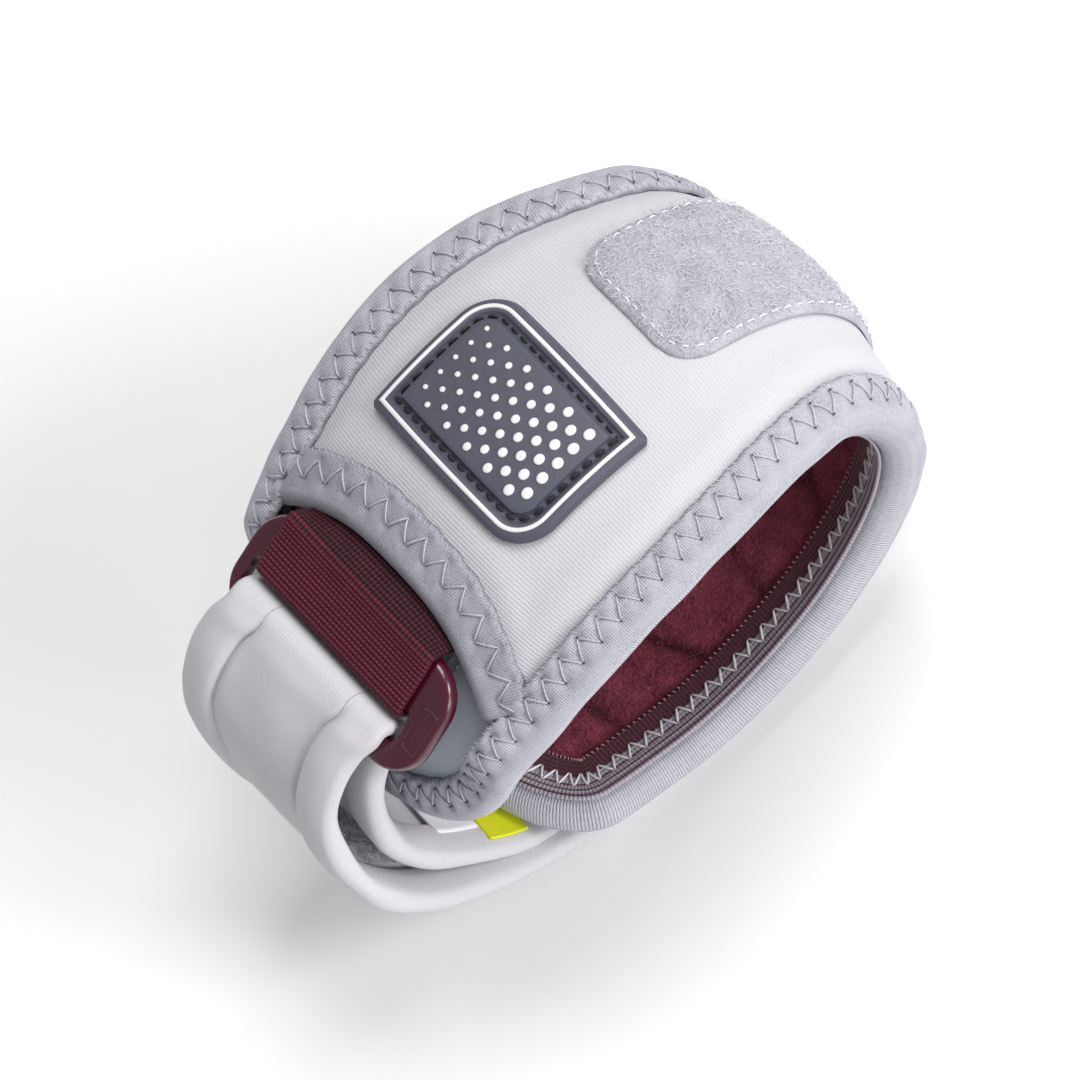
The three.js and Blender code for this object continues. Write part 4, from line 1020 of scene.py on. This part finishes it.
# Curled fibres of a felt: random starts, each wandering with its own bend and rising in the middle.
def curls(s0, s1, a0, a1, count, seed, placeAt, reach=3.4, height=0.75, inside=None):
    local = np.random.default_rng(seed)
    s, a = local.uniform(s0, s1, count), local.uniform(a0, a1, count)
    if inside is not None:
        keep = inside(s, a)
        s, a = s[keep], a[keep]
    number, points = len(s), 9
    heading = local.uniform(0, 2 * np.pi, number)
    bend = local.normal(0, 0.55, number)
    lengths = local.uniform(0.5, 1.0, number) * reach
    ss, aa = [s], [a]
    for _ in range(1, points):
        heading = heading + bend + local.normal(0, 0.25, number)
        ss.append(ss[-1] + np.cos(heading) * lengths / points)
        aa.append(aa[-1] + np.sin(heading) * lengths / points)
    ss = np.clip(np.stack(ss, 1), s0 - 0.4, s1 + 0.4)
    aa = np.clip(np.stack(aa, 1), a0 - 0.4, a1 + 0.4)
    arch = np.sin(np.pi * np.linspace(0, 1, points)) ** 0.8
    rise = height * local.uniform(0.25, 1.0, number)[:, None] * arch + local.normal(0, 0.05, (number, points))
    return placeAt(ss, aa, rise - 0.05)


# Felt strips on the strap's back, one on each run.
felt = {"step": 1.5, "columns": 24, "lumps": 0.14, "lumpSize": 4, "edgeDrop": 0.45, "fibre": 0.075}


def feltStrip(name, start, end, replaced, seed, fibres):
    half, face = seamAt - gap, feltBed - gap - feltWall
    along, across = gridOf(np.linspace(start, end, int((end - start) / felt["step"])),
                           np.linspace(-half, half, felt["columns"]))
    outer = face + felt["lumps"] * wander(along, across, felt["lumpSize"], seed) - 0.1
    outer = outer + felt["edgeDrop"] * ease(half - 1, half, np.abs(across))
    strip = shell(name, onStrap, along, across, outer, feltBed - gap)
    finishPiece(strip, curlCloth, [replaced])
    lines = curls(start + 1, end - 1, -half + 0.6, half - 0.6, fibres, seed,
                  lambda s, a, rise: onStrap(s, a, face - 0.05 - rise))
    strands(name + "Pile", lines, felt["fibre"], greyPile, sides=3)


feltStrip("outerFelt", 28, slotAlong - 10, "outer_felt", 61, 2900)
feltStrip("innerFelt", slotAlong + 10, strapLength - 14, "inner_felt", 62, 1000)
print("stage: felt strips")

# Loop patch: felt with rounded corners, sewn down round its edge.
loopPatch = {"middle": -0.08 * cuffHalf, "columns": 44, "lumps": 0.12, "edgeDrop": 0.9, "fibres": 3900, "fibre": 0.06,
             "fibreHeight": 0.8, "seamIn": 1.5, "stitchPitch": 2.3, "stitchLength": 1.7, "thread": 0.17}


def onPatch(along, across, out):
    return onCuff(patchStart + along, loopPatch["middle"] + across, out)


patchSteps = np.concatenate([
    np.linspace(0, patchRound, 12), np.linspace(patchRound, patchLength - patchRound, 62)[1:-1],
    np.linspace(patchLength - patchRound, patchLength, 12)])
fromEnd = np.minimum(patchSteps, patchLength - patchSteps)
cut = patchRound - np.sqrt(np.maximum(0, patchRound ** 2 - (patchRound - np.minimum(fromEnd, patchRound)) ** 2))
halves = patchHalf - cut * 0.98
along, share = gridOf(patchSteps, np.linspace(-1, 1, loopPatch["columns"]))
across = share * halves[:, None]
fromRim = np.minimum(halves[:, None] - np.abs(across), fromEnd[:, None])
top = gap + patchWall - 0.35 - loopPatch["edgeDrop"] * np.exp(-fromRim / 0.7)
top = top + loopPatch["lumps"] * wander(along, across, 4.5, 71)
patchFelt = shell("patchFelt", onPatch, along, across, top, gap)
finishPiece(patchFelt, feltCloth, ["loop_patch"])
lines = curls(
    0.3, patchLength - 0.3, -patchHalf + 0.3, patchHalf - 0.3, loopPatch["fibres"], 72,
    lambda s, a, rise: onPatch(s, a, gap + patchWall - 0.5 + rise), height=loopPatch["fibreHeight"],
    inside=lambda s, a: np.abs(a) < np.interp(s, patchSteps, halves) - np.where(a > 0, 1.4, 0.3))
strands("patchPile", lines, loopPatch["fibre"], palePile, sides=3)


# Evenly spaced stitches on a closed path of flat points.
def stitchesOn(path, spacing, length):
    closed = np.vstack([path, path[:1]])
    run = runOf(closed)
    for start in np.arange(0, run[-1], spacing):
        t = np.linspace(start, start + length, 6) % run[-1]
        yield np.interp(t, run, closed[:, 0]), np.interp(t, run, closed[:, 1])


inset = loopPatch["seamIn"]
path = cornerPath(patchLength / 2 - inset, patchHalf - inset, [patchRound - inset] * 4)
arch = np.sin(np.linspace(0, np.pi, 6))
strands("patchThread", [
    onPatch(patchLength / 2 + s, a, gap + patchWall - 0.75 + 0.6 * arch)
    for s, a in stitchesOn(path, loopPatch["stitchPitch"], loopPatch["stitchLength"])],
    loopPatch["thread"], whiteThread, sides=5)
print("stage: loop patch")

# Badge: rubber with two sharp and two rounded corners, a sewn groove and a plain field of raised dots.
badge = {"radii": [1.2, 7.5, 1.2, 7.5], "middle": -0.05 * cuffHalf, "grooveDepth": 0.7, "panelRise": 0.4,
         "stitchInset": 3.6, "stitchPitch": 2.5, "stitchLength": 1.9, "thread": 0.26,
         "dotPitch": 3.1, "dotSize": 0.95, "smallestDot": 0.4, "dotSides": 20}
badgeAt = alongAtX(0.02 * ringReach)
face = gap + badgeWall
panelFace = face + badge["panelRise"]


def onBadge(points, level):
    return onCuff(badgeAt + points[..., 0], badge["middle"] + points[..., 1], level)


def badgePath(inset):
    return cornerPath(badgeHalfX, badgeHalfY, badge["radii"], inset)


profile = [(0.0, gap), (0.0, gap + 1.1), (0.08, gap + 1.35), (0.5, face - 0.35), (0.8, face - 0.08), (1.05, face),
           (2.7, face), (2.85, face - 0.15), (2.95, face - badge["grooveDepth"]), (4.3, face - badge["grooveDepth"]),
           (4.4, face - 0.1), (4.45, panelFace - 0.1), (4.6, panelFace)]
loops = [onBadge(badgePath(inset), level) for inset, level in profile]
loops += [onBadge(badgePath(profile[-1][0]) * share, panelFace)
          for share in (0.93, 0.82, 0.7, 0.55, 0.4, 0.25, 0.1, 0.01)]
finishPiece(gridMesh("badgeBody", np.array(loops)), rubber, ["badge"])
lineSection = [(1.55, 0.0), (1.6, 0.25), (1.75, 0.37), (2.1, 0.37), (2.25, 0.25), (2.3, 0.0)]
loops = np.array([onBadge(badgePath(inset), face - 0.05 + rise) for inset, rise in lineSection])
finishPiece(gridMesh("badgeLine", loops, closeRows=True), whiteRubber, ["badge_border"])
strands("badgeThread", [
    onBadge(pair(s, a), face - 0.6 + 0.3 * arch)
    for s, a in stitchesOn(badgePath(badge["stitchInset"]), badge["stitchPitch"], badge["stitchLength"])],
    badge["thread"], blackThread)

# Raised dots in staggered rows that shrink towards one corner.
dotRings = [(1.0, -0.05), (1.0, 0.22), (0.9, 0.33), (0.6, 0.38), (0.02, 0.38)]
turn = np.linspace(0, 2 * np.pi, badge["dotSides"], endpoint=False)
dots = []
for row in range(-5, 6):
    for column in range(-3, 4):
        a = (column + 0.5 * (row % 2)) * badge["dotPitch"] - badge["dotPitch"] / 4
        c = row * badge["dotPitch"] * 0.87
        if abs(a) > badgeHalfX - 6.0 or abs(c) > badgeHalfY - 6.2:
            continue
        size = badge["dotSize"] * mix(badge["smallestDot"], 1.0, (c + badgeHalfY - 6) / (2 * badgeHalfY - 12))
        dots.append([onBadge(pair(a + size * r * np.cos(turn), c + size * r * np.sin(turn)), panelFace + rise)
                     for r, rise in dotRings])
dotPoints = len(dotRings) * badge["dotSides"]
faces = repeated(gridFaces(len(dotRings), badge["dotSides"]), len(dots), dotPoints)
finishPiece(meshFrom("badgeDots", np.array(dots).reshape(-1, 3), faces), whiteRubber)
print("stage: badge")


# A small sheet laid on the strap, between two places along it and two across.
def strapSheet(name, start, end, left, right, level, wall, material, replaced, wave):
    along, across = gridOf(np.linspace(start, end, 24), np.linspace(left, right, 24))
    lift = wave * wander(along, across, 7, 81)
    obj = shell(name, onStrap, along, across, level + wall + lift, level + lift)
    finishPiece(obj, material, [replaced])


labelLevel = strapRoll / 2 + gap
tabStart = strapAlong(-0.99 * ringReach, floorDrop - 0.75 * strapMid, slotAlong + 20)
labelEnd = tabStart - 7.6
strapSheet("limeTab", tabStart - 7, tabStart + 2.5, 10, 18, labelLevel, 0.5, limeCloth, "bright_tab", 0.05)
strapSheet("careLabel", labelEnd - 10, labelEnd, -6, 15, labelLevel, 0.5, labelSheet, "care_label", 0.12)
strapSheet("hookTab", 1, 18, -13, 13, -(labelLevel + hookWall), hookWall, hookTape, "hook_tab", 0.02)
print("stage: labels")

# A plain pale floor, an even sky and three soft lights.
studio = {"floorReach": 3.0, "floorShade": 0.99, "sky": 0.38, "aim": (0, 0, 0.04),
          "lights": {"keyLight": ((2.1, -2.4, 2.45), 1.3, 68), "frontLight": ((0.8, -3.6, 1.4), 1.6, 54),
                     "topLight": ((1.5, 0.5, 3.3), 1.6, 66)}}
floorMesh = bpy.data.meshes.new("floor")
floorMesh.from_pydata([(x * studio["floorReach"], y * studio["floorReach"], 0)
                       for x, y in ((-1, -1), (1, -1), (1, 1), (-1, 1))], [], [(0, 1, 2, 3)])
floor = bpy.data.objects.new("floor", floorMesh)
bpy.context.collection.objects.link(floor)
floorMaterial = bpy.data.materials.new("paleFloor")
floorMaterial.use_nodes = True
floorShader = floorMaterial.node_tree.nodes["Principled BSDF"]
floorShader.inputs["Base Color"].default_value = (*[studio["floorShade"]] * 3, 1)
floorShader.inputs["Roughness"].default_value = 0.6
floorMesh.materials.append(floorMaterial)

world = bpy.data.worlds.new("studio")
bpy.context.scene.world = world
world.use_nodes = True
world.node_tree.nodes["Background"].inputs[0].default_value = (1, 1, 1, 1)
world.node_tree.nodes["Background"].inputs[1].default_value = studio["sky"]
for name, (place, size, power) in studio["lights"].items():
    data = bpy.data.lights.new(name, "AREA")
    data.shape = "SQUARE"
    data.size = size
    data.energy = power
    lamp = bpy.data.objects.new(name, data)
    lamp.location = place
    lamp.rotation_euler = (Vector(studio["aim"]) - Vector(place)).to_track_quat("-Z", "Y").to_euler()
    bpy.context.collection.objects.link(lamp)

# The camera: looking down on the front, turned about its own line of sight as in the photo.
view = {"tilt": math.radians(25), "roll": math.atan2(0.722, 0.692), "distance": 6.0, "across": 0.184,
        "target": (-0.0092, 0.0016, floorDrop / 1000), "nudge": 0.00034, "sensor": 36}
ct, st = math.cos(view["tilt"]), math.sin(view["tilt"])
cr, sr = math.cos(view["roll"]), math.sin(view["roll"])
right, upward, toward = Vector((sr, -cr * ct, -cr * st)), Vector((cr, sr * ct, sr * st)), Vector((0, -st, ct))
cameraData = bpy.data.cameras.new("camera")
cameraData.sensor_width = view["sensor"]
cameraData.lens = view["sensor"] * view["distance"] / view["across"]
cameraData.clip_end = 20
camera = bpy.data.objects.new("camera", cameraData)
bpy.context.collection.objects.link(camera)
turned = Matrix((right, upward, toward)).transposed().to_4x4()
turned.translation = Vector(view["target"]) + (right - upward) * view["nudge"] + toward * view["distance"]
camera.matrix_world = turned
bpy.context.scene.camera = camera
bpy.context.scene.view_settings.view_transform = "Standard"


print("stage: done")
